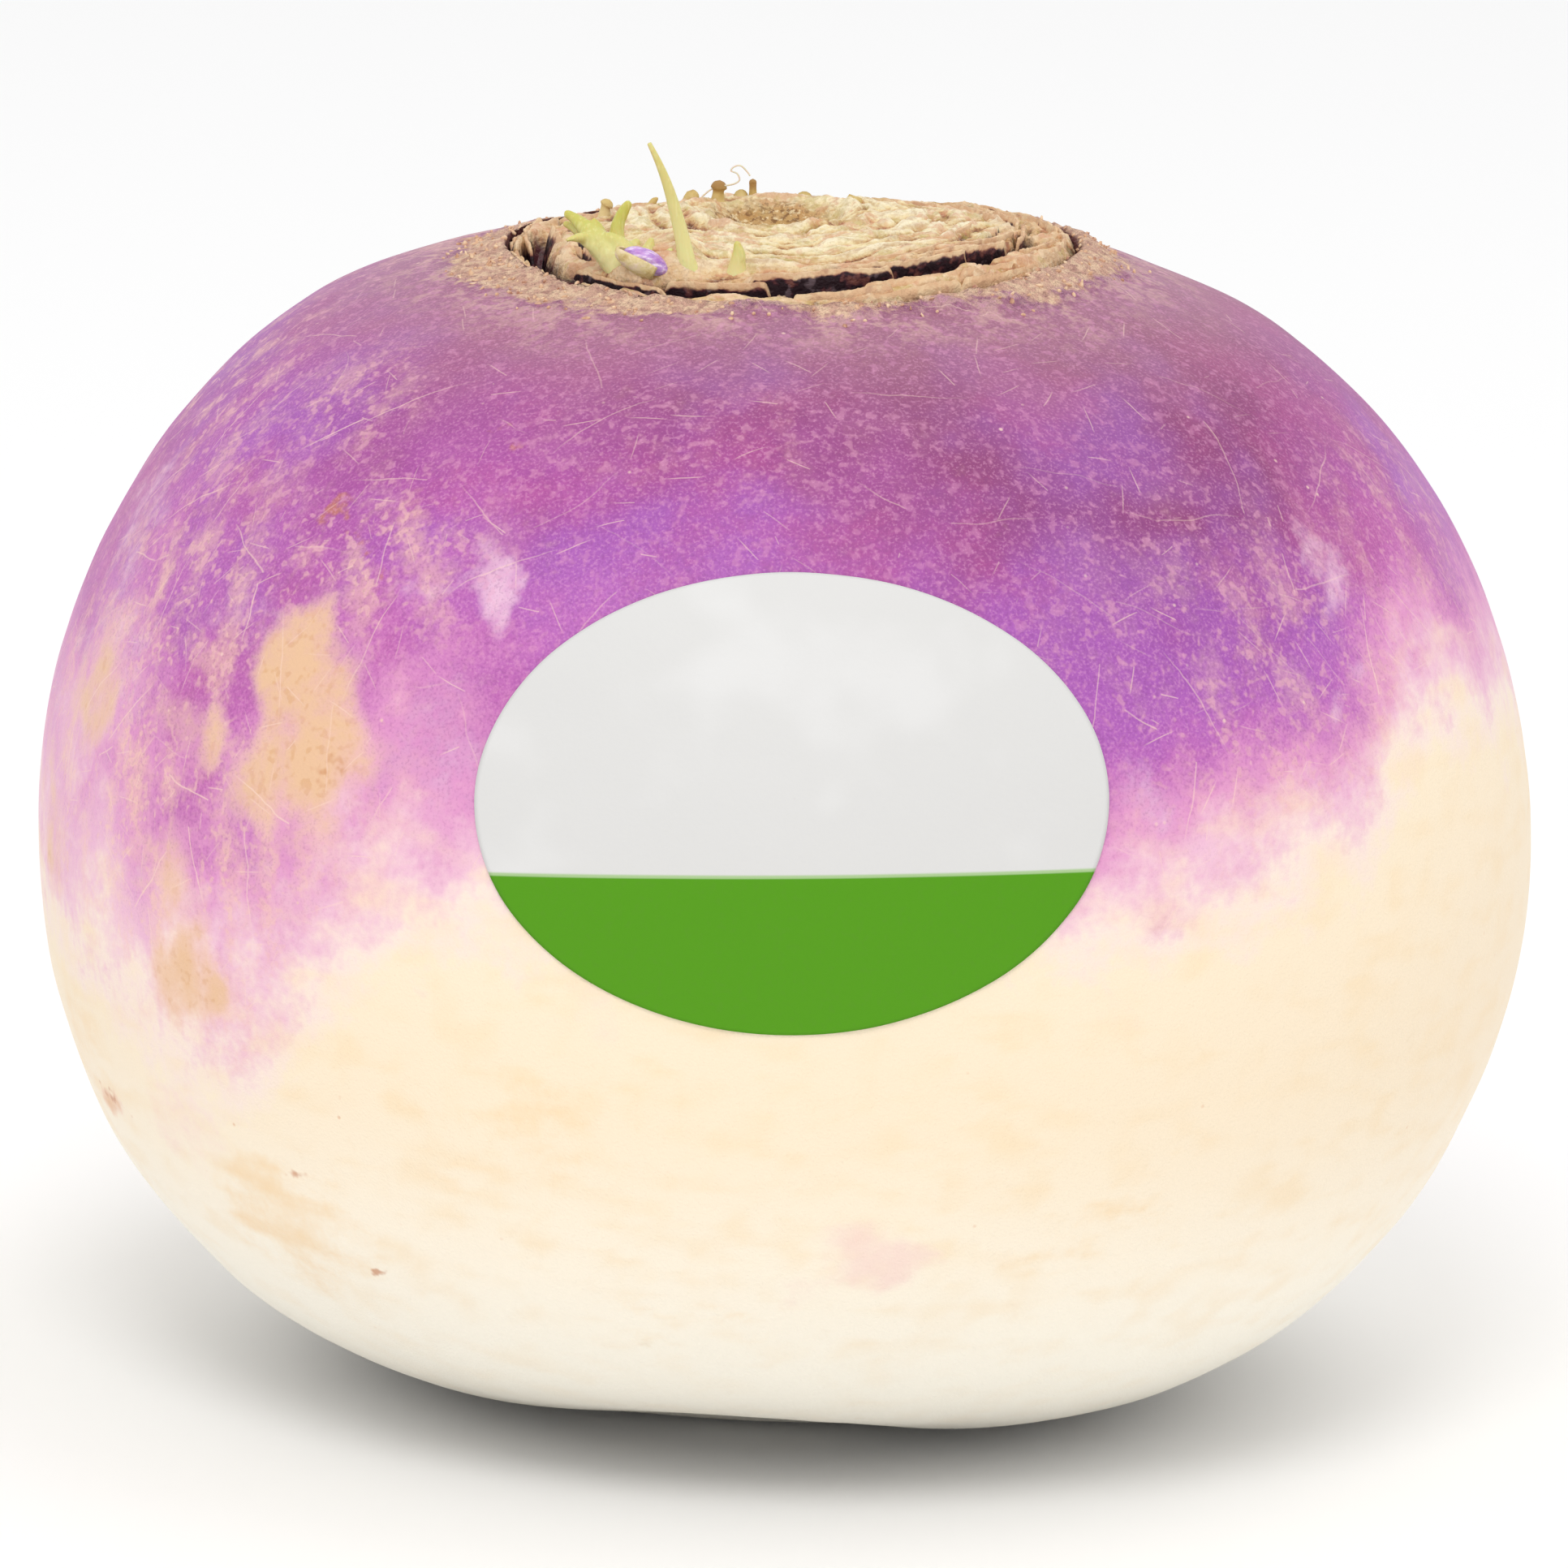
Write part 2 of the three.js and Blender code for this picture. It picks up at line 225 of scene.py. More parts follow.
# %% Node maths
class Value:
    """An output in a node tree. Sums and products of values add Math nodes."""

    def __init__(self, tree, output=None):
        self.tree = tree
        self.output = output

    def node(self, kind, settings, inputs, output=0):
        """Adds a node, its settings first, then its sockets' values or links. Gives one output."""
        made = self.tree.nodes.new(kind)
        for name, setting in settings.items():
            if name == "stops":
                fill_ramp(made.color_ramp, setting)
            else:
                setattr(made, name, setting)
        for name, value in inputs.items():
            if isinstance(value, Value):
                self.tree.links.new(value.output, made.inputs[name])
            else:
                made.inputs[name].default_value = value
        return Value(self.tree, made.outputs[output])

    def math(self, operation, *others):
        inputs = dict(enumerate((self, *others)))
        return self.node("ShaderNodeMath", {"operation": operation}, inputs)

    def __add__(self, other):
        return self.math("ADD", other)

    def __mul__(self, other):
        return self.math("MULTIPLY", other)

    def __sub__(self, other):
        return self.math("SUBTRACT", other)

    def __truediv__(self, other):
        return self.math("DIVIDE", other)

    def __rsub__(self, other):
        return self.node("ShaderNodeMath", {"operation": "SUBTRACT"}, {0: other, 1: self})

    def __rtruediv__(self, other):
        return self.node("ShaderNodeMath", {"operation": "DIVIDE"}, {0: other, 1: self})

    __radd__ = __add__
    __rmul__ = __mul__

    def smooth(self, low, high, start=0.0, end=1.0):
        """Rises softly from start to end as the value goes from low to high."""
        limits = {"Value": self, "From Min": low, "From Max": high, "To Min": start, "To Max": end}
        return self.node("ShaderNodeMapRange", {"interpolation_type": "SMOOTHSTEP"}, limits)

    def vector(self, operation, *others, output=0, **named):
        inputs = dict(enumerate((self, *others)))
        return self.node("ShaderNodeVectorMath", {"operation": operation}, {**inputs, **named}, output)

    def split(self):
        made = self.node("ShaderNodeSeparateXYZ", {}, {0: self}).output.node
        return [Value(self.tree, output) for output in made.outputs]

    def blend(self, amount, other):
        """This colour, changed into another by an amount."""
        inputs = {"Factor": amount, 6: self, 7: other}
        return self.node("ShaderNodeMix", {"data_type": "RGBA"}, inputs, 2)

    def clouds(self, size, detail=2.0, roughness=0.5, output=0):
        """Noise about 0.5, in lumps of a size, where this is a position.

        Output 1 is three noises at once, as a colour.
        """
        inputs = {"Vector": self, "Scale": 1 / size, "Detail": detail, "Roughness": roughness}
        return self.node("ShaderNodeTexNoise", {}, inputs, output)

    def shifted(self, step):
        return self.vector("ADD", (step, -1.7 * step, 2.3 * step))

    def sibling(self, name):
        """Another output of the same node."""
        return Value(self.tree, self.output.node.outputs[name])


def fill_ramp(ramp, stops):
    while len(ramp.elements) < len(stops):
        ramp.elements.new(1.0)
    for element, (place, colour) in zip(ramp.elements, stops):
        element.position = place
        element.color = colour


def paint(red, green, blue):
    """A colour seen on screen, from 0 to 255, as the linear light that a shader takes."""
    linear = []
    for level in (red / 255, green / 255, blue / 255):
        linear.append(level / 12.92 if level <= 0.04045 else ((level + 0.055) / 1.055) ** 2.4)
    return (*linear, 1.0)


def new_material(name):
    """A material with its tree and its position in millimetres."""
    material = bpy.data.materials.new(name)
    material.use_nodes = True
    tree = Value(material.node_tree)
    place = tree.node("ShaderNodeTexCoord", {}, {}, "Object")
    return material, tree, place.vector("SCALE", Scale=1 / MM)


def finish_material(material, colour, roughness, height=None, bump_depth=0.1, **fixed):
    """Links the varying colour, roughness and height, and sets the fixed values on their own sockets."""
    shader = material.node_tree.nodes["Principled BSDF"]
    tree = Value(material.node_tree)
    material.node_tree.links.new(colour.output, shader.inputs["Base Color"])
    if isinstance(roughness, Value):
        material.node_tree.links.new(roughness.output, shader.inputs["Roughness"])
    else:
        shader.inputs["Roughness"].default_value = roughness
    if height is not None:
        inputs = {"Height": height, "Distance": bump_depth * MM, "Strength": 1.0}
        relief = tree.node("ShaderNodeBump", {}, inputs)
        material.node_tree.links.new(relief.output, shader.inputs["Normal"])
    for name, value in fixed.items():
        shader.inputs[name.replace("_", " ")].default_value = value
    return material


# %% [markdown]
# ## The skin: broad marks, kept on its points
#
# The top of the root grew in the light and turned purple, and the part in the soil stayed cream.
# The border wanders round the root, so it is a curve of height against direction.
# Worn and stained patches are soft spots, and one worn spot on the upper left edge is partly
# painted light. A picture could be painted for all this, but broad marks need none: they are
# worked out for each point of the mesh and kept there as values. The shader only frays their edges,
# which keeps it quick.

# %% Broad marks
# The border's height in millimetres, for directions in degrees from the front.
BORDER = [
    (-200, 29), (-180, 30), (-160, 33), (-140, 27), (-120, 31), (-100, 28), (-88, 28), (-66, 27),
    (-54, 24.5), (-43, 24), (-35, 29.5), (-25, 34.5), (-12, 37), (5, 37.5), (18, 36), (24, 35.4),
    (34, 37.2), (42, 38.4), (50, 39.6), (54, 42.4), (59, 44.6), (65, 45.0), (69, 44.4), (73, 42.6),
    (78, 43.0), (89, 42), (104, 37), (122, 31), (142, 35), (160, 29), (180, 30), (200, 28)]
# How fast the purple deepens over its border, by direction: the left side stays pink for longer.
DEEPENING = [
    (-180, 0.8), (-110, 0.54), (-60, 0.43), (-32, 0.53), (-14, 0.86), (10, 1.0), (26, 1.2), (42, 1.5),
    (60, 1.6), (76, 1.1), (110, 1.0), (180, 0.8)]
# Each mark: its middle, its half size along x, y and z, and its strength.
TAN_MARKS = [
    ((-26.2, -30.1, 45.4), (3.2, 5.0, 3.4), 1.0), ((-25.4, -31.8, 40.8), (4.6, 5.0, 4.4), 1.0),
    ((-31.0, -26.0, 40.8), (3.2, 4.0, 2.2), 0.55), ((-38.2, -15.7, 40.6), (2.4, 5.0, 3.4), 0.75),
    ((-33.2, -25.0, 33.0), (1.5, 4.0, 3.4), 0.6), ((-31.6, -27.0, 28.2), (2.2, 4.0, 4.0), 0.8),
    ((-34.5, -22.0, 48.0), (1.4, 4.0, 2.2), 0.4), ((-40.2, -10.0, 33.0), (1.6, 5.0, 4.6), 0.55),
    ((-37.0, -14.5, 16.8), (0.9, 3.0, 1.8), 0.8), ((-29.0, -26.0, 22.4), (2.4, 3.0, 1.8), 0.35)]
PALE_MARKS = [
    ((-16.0, -33.5, 50.4), (1.5, 3.5, 2.3), 1.0), ((-19.0, -32.5, 51.0), (3.6, 3.0, 0.9), 0.6),
    ((-36.5, -16.0, 44.0), (5.0, 12.0, 7.0), 0.5), ((-40.5, -8.0, 38.0), (4.0, 12.0, 9.0), 0.5),
    ((-34.0, -20.0, 31.0), (9.0, 9.0, 7.5), 0.45), ((-18.0, -36.0, 42.0), (5.0, 5.0, 5.0), 0.4),
    ((-14.8, -37.5, 37.6), (3.0, 4.0, 3.4), 0.55), ((-36.5, -12.0, 50.0), (4.0, 9.0, 5.0), 0.5),
    ((-29.0, -27.0, 48.0), (5.0, 6.0, 2.0), 0.35), ((-24.0, -31.0, 34.0), (6.0, 6.0, 3.0), 0.4),
    ((28.6, -22.5, 52.0), (1.1, 3.5, 3.2), 0.85), ((30.2, -24.9, 46.3), (1.5, 3.5, 1.5), 0.7),
    ((19.1, -35.9, 41.7), (3.0, 3.5, 2.6), 0.5), ((22.4, -33.2, 38.6), (1.8, 3.5, 1.4), 0.7)]
RUST_MARKS = [
    ((-24.6, -26.0, 52.4), (0.6, 3.0, 2.2), 0.9), ((-23.4, -26.6, 52.0), (0.5, 3.0, 1.6), 0.8),
    ((-15.5, -25.2, 58.6), (0.8, 3.0, 0.9), 0.8), ((-14.0, -26.5, 57.2), (0.5, 3.0, 0.5), 0.7),
    ((-21.6, -29.6, 51.0), (1.4, 3.0, 1.0), 0.5), ((-24.6, -32.5, 39.6), (1.6, 3.0, 1.2), 0.45),
    ((-25.6, -29.5, 17.0), (0.8, 3.0, 0.5), 1.0), ((-21.7, -29.8, 12.7), (0.8, 3.0, 0.5), 1.0),
    ((-37.6, -14.0, 17.6), (0.5, 3.0, 1.4), 0.8)]
BLUSH_MARKS = [
    ((6.4, -38.3, 16.5), (3.8, 4.0, 2.6), 0.8), ((2.0, -38.5, 14.0), (3.0, 4.0, 1.8), 0.4),
    ((-31.8, -23.5, 18.2), (3.4, 5.0, 3.0), 0.5), ((-10.0, -39.5, 31.0), (4.0, 4.0, 3.0), 0.4),
    ((18.0, -36.0, 30.0), (5.0, 4.0, 2.6), 0.3)]
# Warm stains on the cream flesh.
STAIN_MARKS = [
    ((-25.5, -27.5, 14.5), (6.5, 7.0, 4.6), 1.0), ((-12.0, -38.0, 23.0), (10.0, 6.0, 6.0), 0.5),
    ((20.0, -36.0, 17.0), (9.0, 7.0, 4.5), 0.5), ((-38.0, -12.0, 20.0), (3.0, 6.0, 5.0), 0.6),
    ((-4.0, -36.0, 12.0), (10.0, 5.0, 3.0), 0.4), ((14.0, 34.0, 16.0), (10.0, 8.0, 5.0), 0.7),
    ((-30.0, 20.0, 14.0), (8.0, 9.0, 4.0), 0.7), ((34.0, 10.0, 20.0), (8.0, 9.0, 4.0), 0.6)]
# Worn patches; the mark at (-31, -4, 55) lightens the upper left edge of the outline, and is partly painted
# light.
WEAR_AND_LIMB_LIGHT_MARKS = [
    ((-33.0, -22.0, 38.0), (14.0, 22.0, 20.0), 1.0), ((-24.1, -18.8, 57.9), (5.0, 6.0, 4.0), 0.7),
    ((-31.0, -4.0, 55.0), (7.0, 16.0, 9.0), 0.8), ((-22.0, 8.0, 61.0), (8.0, 12.0, 6.0), 0.6),
    ((10.0, 34.0, 44.0), (16.0, 10.0, 14.0), 0.3), ((-22.5, -28.8, 51.2), (8.0, 8.0, 5.0), 0.9),
    ((26.0, -28.0, 45.0), (15.0, 13.0, 12.0), 0.55), ((-4.0, -28.0, 58.0), (12.0, 6.0, 4.0), 0.2),
    ((33.0, -12.0, 52.0), (7.0, 10.0, 7.0), 0.5)]
# Where the purple turns bluer.
VIOLET_MARKS = [((21.0, -30.0, 46.0), (15.0, 14.0, 10.0), 0.8)]


# Marks whose edges are bent by noise.
BENT_MARKS = {
    "tan": TAN_MARKS, "pale": PALE_MARKS, "rust": RUST_MARKS, "blush": BLUSH_MARKS, "stain": STAIN_MARKS}
BEND_REACH = 2.0
BEND_SIZE = 4.5
# Fine noises that every edge is frayed with: their size in millimetres and their seed.
FINE_NOISES = {"fine_a": (2.4, 67), "fine_b": (2.6, 71), "fine_c": (2.2, 73)}
SCAR_REACH = (7.2, 5.4)
SCAR_RING = 3.6
NO_CROWN = 40


def spots(points, marks):
    """The strongest of some soft round marks at each point, from 0 to 1."""
    total = np.zeros(len(points))
    for middle, size, strength in marks:
        distance = np.linalg.norm((points - middle) / size, axis=1)
        total = np.maximum(total, strength * smoothstep(-distance, -1.35, -0.3))
    return total


def skin_marks(points):
    """Every broad mark, as a value for each point."""
    x, y, z = points.T
    border = catmull_rom(BORDER, 12)
    direction = np.degrees(np.arctan2(x, -y))
    line = np.interp(direction, border[:, 0], border[:, 1])
    bend = np.stack([clouds(points, BEND_SIZE, 4, seed) for seed in (31, 37, 41)], 1)
    bent = points + BEND_REACH * bend
    deepening = np.interp(direction, *np.array(DEEPENING, float).T)
    around = np.hypot(x - CROWN_MIDDLE[0], y - CROWN_MIDDLE[1])
    leftward = smoothstep(-x, 4, 18) * smoothstep(20 - y, 10, 24)
    rightward = smoothstep(x, 8, 15)
    crown = around - 2.4 * leftward - 1.5 * rightward + 0.9 * clouds(points, 7, 2, 43)
    crown = np.where(z > 50, crown, NO_CROWN)
    over = z - line
    over = np.where(over > 0, over * deepening, over) + 2.2 * clouds(points, 8, 3, 47)
    slanted = np.stack([x + 0.25 * z, y, 0.22 * z], 1)
    flowing = np.stack([x / 5, y / 5, (z + 0.2 * x) / 1.1], 1)
    from_axis = np.hypot(x, y) + 0.5 * clouds(points, 1.6, 2, 79)
    scar = smoothstep(-from_axis, -SCAR_REACH[0], -SCAR_REACH[1]) * smoothstep(-z, -4, -2)
    values = {
        "over": over, "crown": crown, "scar": scar, "scar_ring": scar * bump(from_axis - SCAR_RING, 0.5),
        "violet": clouds(points, 11, 2, 53) + spots(points, VIOLET_MARKS),
        "magenta": clouds(points, 8, 3, 59), "wear": spots(points, WEAR_AND_LIMB_LIGHT_MARKS),
        "wisp": 0.5 + 0.4 * clouds(flowing, 1.0, 3, 83),
        "streak": 0.5 + 0.4 * clouds(slanted, 1.9, 3, 61)}
    for name, marks in BENT_MARKS.items():
        values[name] = spots(bent, marks)
    for name, (size, seed) in FINE_NOISES.items():
        values[name] = 0.5 + 0.4 * clouds(points, size, 3, seed)
    return values


# %% [markdown]
# ## The skin: scratches and specks
#
# Washing and handling leave fine pale scratches. Each cell of a Voronoi texture holds one: a
# thin line through the cell's middle, in the cell's own direction along the skin. A random value
# of the cell says whether it has one, and some of the other cells hold a small dot instead. Two
# sizes together look unplanned.

# %% Scratches and specks
DOT_RADIUS = 0.16
DOT_FROM = 0.62


def cells(at, size, shift):
    """Scattered cells: distance to the nearest middle, offset from it, and its random values."""
    moved = at.shifted(shift)
    near = at.node("ShaderNodeTexVoronoi", {}, {"Vector": moved, "Scale": 1 / size}, "Distance")
    return near * size, moved.vector("SUBTRACT", near.sibling("Position")), near.sibling("Color")


def scratches(at, normal, bend, size, width, length, share, shift, upright):
    """Thin lines in a share of the cells, and small dots in some of the others."""
    near, offset, chance = cells(at, size, shift)
    turned = chance.vector("ADD", (-0.5, -0.5, upright - 0.5))
    across = normal.vector("CROSS_PRODUCT", turned).vector("NORMALIZE")
    along = across.vector("CROSS_PRODUCT", normal)
    aside = (offset.vector("DOT_PRODUCT", across, output=1) + bend * size).math("ABSOLUTE")
    ahead = offset.vector("DOT_PRODUCT", along, output=1).math("ABSOLUTE")
    red, green, blue = chance.split()
    line = aside.smooth(width, 0.0) * ahead.smooth(length, length * 0.3) * (red * 0.7 + 0.3)
    dot = near.smooth(DOT_RADIUS, DOT_RADIUS * 0.3) * green.math("GREATER_THAN", DOT_FROM)
    return line * green.math("LESS_THAN", share), dot * (blue * 0.6 + 0.4)


# %% [markdown]
# ## The skin: its colours
#
# The colours are laid in the order in which the root got them: flesh and blush, then the greyish
# skin near the crown, then stains and worn patches, and last the scratches on top of all. Each
# stain could have a texture of its own, but that is slow. Two noises and the kept values serve for
# everything: a kept value plus noise, pushed through a soft step, gives an edge that is ragged at
# every scale.

# %% Skin material
CREAM = paint(248, 230, 202)
# The lighter cream at the foot is painted light.
CREAM_PAINTED_LIGHT = paint(254, 249, 236)
CREAM_DEEP = paint(246, 220, 180)
STAIN = paint(244, 206, 152)
PINK_WHITE = paint(244, 206, 222)
TAN = paint(232, 190, 150)
TAN_EDGE = paint(240, 200, 182)
RUST = paint(196, 124, 78)
BLUSH = paint(246, 214, 206)
GREY_MAUVE = paint(160, 104, 124)
CORK = paint(214, 171, 147)
CORK_PALE = paint(236, 202, 170)
CORK_DARK = paint(152, 102, 100)
SCRATCH = paint(246, 212, 196)
SCAR_TAN = paint(220, 190, 142)
SCAR_BROWN = paint(150, 106, 70)
SKIN_RAMP_FROM = -4
SKIN_RAMP_TO = 24
SKIN_STOPS = [
    (0.0, CREAM), (0.1, paint(247, 226, 214)), (0.2, paint(238, 192, 210)), (0.32, paint(222, 146, 196)),
    (0.46, paint(193, 103, 176)), (0.66, paint(168, 77, 156)), (1.0, paint(138, 54, 112))]
VIOLET = paint(160, 94, 196)
MAGENTA = paint(182, 76, 140)
DUSTY_AND_LIMB_LIGHT = paint(240, 196, 172)
DUST_GREY = paint(206, 164, 156)
FLECK = paint(246, 206, 178)
TAN_SPECK = paint(212, 158, 108)
GRAIN_LIGHT = paint(226, 160, 200)
GRAIN_DARK = paint(126, 54, 120)
GRAIN_PINK = paint(216, 146, 186)
SOIL = paint(216, 152, 104)
LIP_PAINTED_SHADE = paint(92, 44, 48)


def kept(tree, name):
    """A value kept on the mesh's points."""
    return tree.node("ShaderNodeAttribute", {"attribute_name": name}, {}, "Fac")


def skin_material():
    material, tree, at = new_material("turnip_skin")
    height = at.split()[2]
    fine_a, fine_b, fine_c = kept(tree, "fine_a"), kept(tree, "fine_b"), kept(tree, "fine_c")
    small_a, small_b, small_c = at.shifted(9).clouds(0.62, 1, 0.72, 1).split()
    grain = at.clouds(0.17, 1, 0.6)
    fray = (fine_a - 0.5) * 1.4 + (small_a - 0.5) * 1.0

    over = kept(tree, "over") + fray * 3.4
    amount = (over - SKIN_RAMP_FROM) / (SKIN_RAMP_TO - SKIN_RAMP_FROM)
    colour = tree.node("ShaderNodeValToRGB", {"stops": SKIN_STOPS}, {"Fac": amount})
    purple = over.smooth(-1, 9)
    deep = over.smooth(4, 13)
    violet = (kept(tree, "violet") + (fine_b - 0.5) * 0.8).smooth(-0.3, 0.6)
    colour = colour.blend(violet * deep * 0.42, VIOLET)
    magenta = (kept(tree, "magenta") + (small_b - 0.5) * 0.8).smooth(-0.1, 0.7)
    colour = colour.blend(magenta * deep * 0.34, MAGENTA)
    # Painted light: the cream is made lighter towards the foot.
    colour = colour.blend(height.smooth(26, 5) * (1 - purple), CREAM_PAINTED_LIGHT)
    flesh = 1 - purple
    warmer = (fine_c * 0.6 + kept(tree, "wisp") * 0.7).smooth(0.55, 1.0) * height.smooth(4, 20, 0.3, 1.0)
    colour = colour.blend(warmer * flesh * 0.5, CREAM_DEEP)
    stain = kept(tree, "stain")
    stained = stain * 1.1 + (kept(tree, "wisp") - 0.5) * 1.6 + (small_a - 0.5) * 0.8
    colour = colour.blend(stained.smooth(0.2, 1.7) * stain.smooth(0.0, 0.5) * flesh * 0.5, STAIN)
    colour = colour.blend((kept(tree, "blush") + fray * 0.3).smooth(0.2, 0.9) * 0.7, BLUSH)
    colour = colour.blend((kept(tree, "scar") + fray * 0.4).smooth(0.1, 0.9) * 0.8, SCAR_TAN)
    colour = colour.blend((kept(tree, "scar_ring") + fray * 0.4).smooth(0.2, 0.9) * 0.7, SCAR_BROWN)
    return finish_skin(material, tree, at, colour, over, purple, fray, small_a, small_b, small_c, grain)


def finish_skin(material, tree, at, colour, over, purple, fray, small_a, small_b, small_c, grain):
    """The crown's surroundings, stains, grain and scratches, over the flesh colours."""
    fine_b, fine_c, streak, wear = [kept(tree, name) for name in ("fine_b", "fine_c", "streak", "wear")]
    crown = kept(tree, "crown") + fray * 2.0
    colour = colour.blend(crown.smooth(30, 18) * 0.85, GREY_MAUVE)
    dust = crown.smooth(23, 16.8) * (fine_c + small_b).smooth(0.86, 1.16)
    colour = colour.blend(dust * 0.7, DUST_GREY)
    corky = crown.smooth(17.3, 16.3)
    colour = colour.blend(corky * 0.9, CORK)
    colour = colour.blend(corky * small_b.smooth(0.42, 0.6) * 0.85, CORK_PALE)
    colour = colour.blend(corky * small_c.smooth(0.54, 0.66) * 0.45, CORK_DARK)

    # Pale dusty smears on worn skin, which on the upper left edge are partly painted light.
    worn_and_limb_lit = wear * over.smooth(-2, 4) * (1 - corky)
    smears = (streak * 0.8 + fine_b * 0.4 + small_b * 0.5).smooth(0.74, 1.12)
    colour = colour.blend(worn_and_limb_lit * smears * over.smooth(30, 16, 0.36, 0.5), DUSTY_AND_LIMB_LIGHT)
    flecks = (small_c + streak * 0.35).smooth(0.74, 0.86)
    colour = colour.blend(worn_and_limb_lit * flecks * 0.48, FLECK)

    pale_mark, tan_mark, rust_mark = [kept(tree, name) for name in ("pale", "tan", "rust")]
    pale = (pale_mark + fray * 0.9).smooth(0.1, 1.4) * pale_mark.smooth(0.0, 0.5)
    colour = colour.blend(pale * 0.75, PINK_WHITE)
    ragged = tan_mark * 1.25 + fray * 0.55 + (streak - 0.5) * 0.9
    colour = colour.blend(ragged.smooth(-0.2, 0.9) * tan_mark.smooth(0.0, 0.35) * 0.6, TAN_EDGE)
    tanned = ragged.smooth(0.15, 1.35) * tan_mark.smooth(0.0, 0.5)
    colour = colour.blend(tanned * 0.95, TAN)
    colour = colour.blend(tanned * small_c.smooth(0.54, 0.68) * 0.45, TAN_SPECK)
    rusty = (rust_mark * 1.1 + (small_a - 0.5) * 1.2).smooth(0.35, 0.95) * rust_mark.smooth(0.0, 0.25)
    colour = colour.blend(rusty * 0.7, RUST)

    grainy = purple * (1 - tanned) * (1 - corky)
    colour = colour.blend(grain.smooth(0.5, 0.72) * grainy * 0.3, GRAIN_LIGHT)
    colour = colour.blend(grain.smooth(0.5, 0.28) * grainy * 0.26, GRAIN_DARK)
    colour = colour.blend(small_c.smooth(0.54, 0.7) * grainy * 0.32, GRAIN_PINK)
    normal = tree.node("ShaderNodeNewGeometry", {}, {}, "Normal")
    bend = (fine_b - 0.5) * 0.12
    long_marks, _ = scratches(at, normal, bend, 5.6, 0.075, 4.2, wear * 0.6 + 0.35, 3.1, 0.35)
    short_marks, dots = scratches(at, normal, bend, 2.0, 0.06, 1.3, wear * 0.45 + 0.2, 9.7, 0.2)
    worn = (long_marks * (wear * 0.45 + 0.4)).math("MAXIMUM", short_marks * 0.55)
    worn = worn.math("MAXIMUM", dots * 0.75)
    colour = colour.blend(worn * over.smooth(-3, 4), SCRATCH)
    soil = dots * (1 - purple) * small_c.smooth(0.35, 0.6)
    colour = colour.blend(soil * 0.45, SOIL)
    # Painted shade: the skin's lip, down inside the rim, is darkened.
    colour = colour.blend(kept(tree, "lip").smooth(0.0, 0.35), LIP_PAINTED_SHADE)

    roughness = 0.42 + grain * 0.12 + corky * 0.3
    relief = grain * (kept(tree, "crown").smooth(18.5, 16.5) * 2.5 + 0.35)
    return finish_material(material, colour, roughness, relief, 0.12, Specular_IOR_Level=0.4)


SKIN = skin_material()
print("skin nodes:", len(SKIN.node_tree.nodes))

# %% [markdown]
# ## The skin's mesh
#
# The skin runs in one sheet of rings: from the cut tap root under the foot, over the side, up to
# the torn rim, and then down inside the crown. It could be sculpted, but rings along the solid's
# own outline lie exactly where the solid is. Noise along its normals gives it faint dents, and the
# foot is kept flat, because the turnip stands on it.

# %% Root skin
AROUND = 440
SIDE_STEP = 0.56
LIP_DEPTH = 3.2
LIP_WALL = 0.45
LIP_RINGS = 14


def side_rings():
    """Radius and height of every ring, from the scar to the middle of the crown."""
    rings = catmull_rom(SCAR, 5)[:-1].tolist()
    rings += [(radius, 0.0) for radius in np.linspace(SCAR[-1][0], FOOT_RADIUS, 8)[:-1]]
    along = np.linspace(0, SIDE_LENGTHS[-1], int(SIDE_LENGTHS[-1] / SIDE_STEP))
    rings += list(zip(*[np.interp(along, SIDE_LENGTHS, column) for column in SIDE_LINE.T]))
    rim = rings[-1]
    rings += [(rim[0] - LIP_WALL * t, rim[1] - LIP_DEPTH * t ** 1.6) for t in np.linspace(0.1, 1, 9)]
    inner = rings[-1]
    rings += [(inner[0] * (1 - t), inner[1]) for t in np.linspace(0.2, 1, 5)]
    return np.array(rings)


def on_body(radius, height, out_radius, out_height, angle, lift=0.0):
    """Points of the fine skin, for places on the outline, their outward slope and their direction."""
    x, y, z = uneven(radius * np.cos(angle), radius * np.sin(angle), height)
    points = np.stack([x, y, z], 1)
    normal = np.stack([out_radius * np.cos(angle), out_radius * np.sin(angle), out_height], 1)
    free = smoothstep(z, 0.2, 2.5)
    distance = np.hypot(x - CROWN_MIDDLE[0], y - CROWN_MIDDLE[1])
    near_rim = smoothstep(z, 56, 60) * smoothstep(distance, 21, 17)
    waves = 0.28 * clouds(points, 20, 2, 1) + 0.05 * clouds(points, 5, 2, 4)
    waves += near_rim * (0.2 * clouds(points, 1.8, 3, 9) + 0.14 * clouds(points, 0.7, 2, 11))
    waves += 0.45 * near_rim * smoothstep(x, 5, 14) * bump(distance - 16.6, 2.2)
    return points + normal * (waves * free + lift)[:, None]


def root_skin():
    rings = side_rings()
    slope = np.gradient(rings, axis=0)
    slope /= np.maximum(np.hypot(slope[:, :1], slope[:, 1:]), 1e-9)
    turn = np.tile(np.linspace(-math.pi, math.pi, AROUND, endpoint=False), len(rings))
    radius, height, down, out = [np.repeat(column, AROUND) for column in (*rings.T, *slope.T)]
    points = on_body(radius, height, out, -down, turn)
    values = skin_marks(points)
    # The last rings, down inside the rim, are marked for painted shade.
    values["lip"] = np.repeat(np.clip(np.arange(len(rings)) - len(rings) + LIP_RINGS + 1, 0, 3) / 3, AROUND)
    piece = make_piece("root_skin", points, ring_faces(len(rings), AROUND), SKIN, values)
    return mend(piece, 1e-6)


skin_piece = root_skin()
print("root_skin faces:", len(skin_piece.data.polygons))

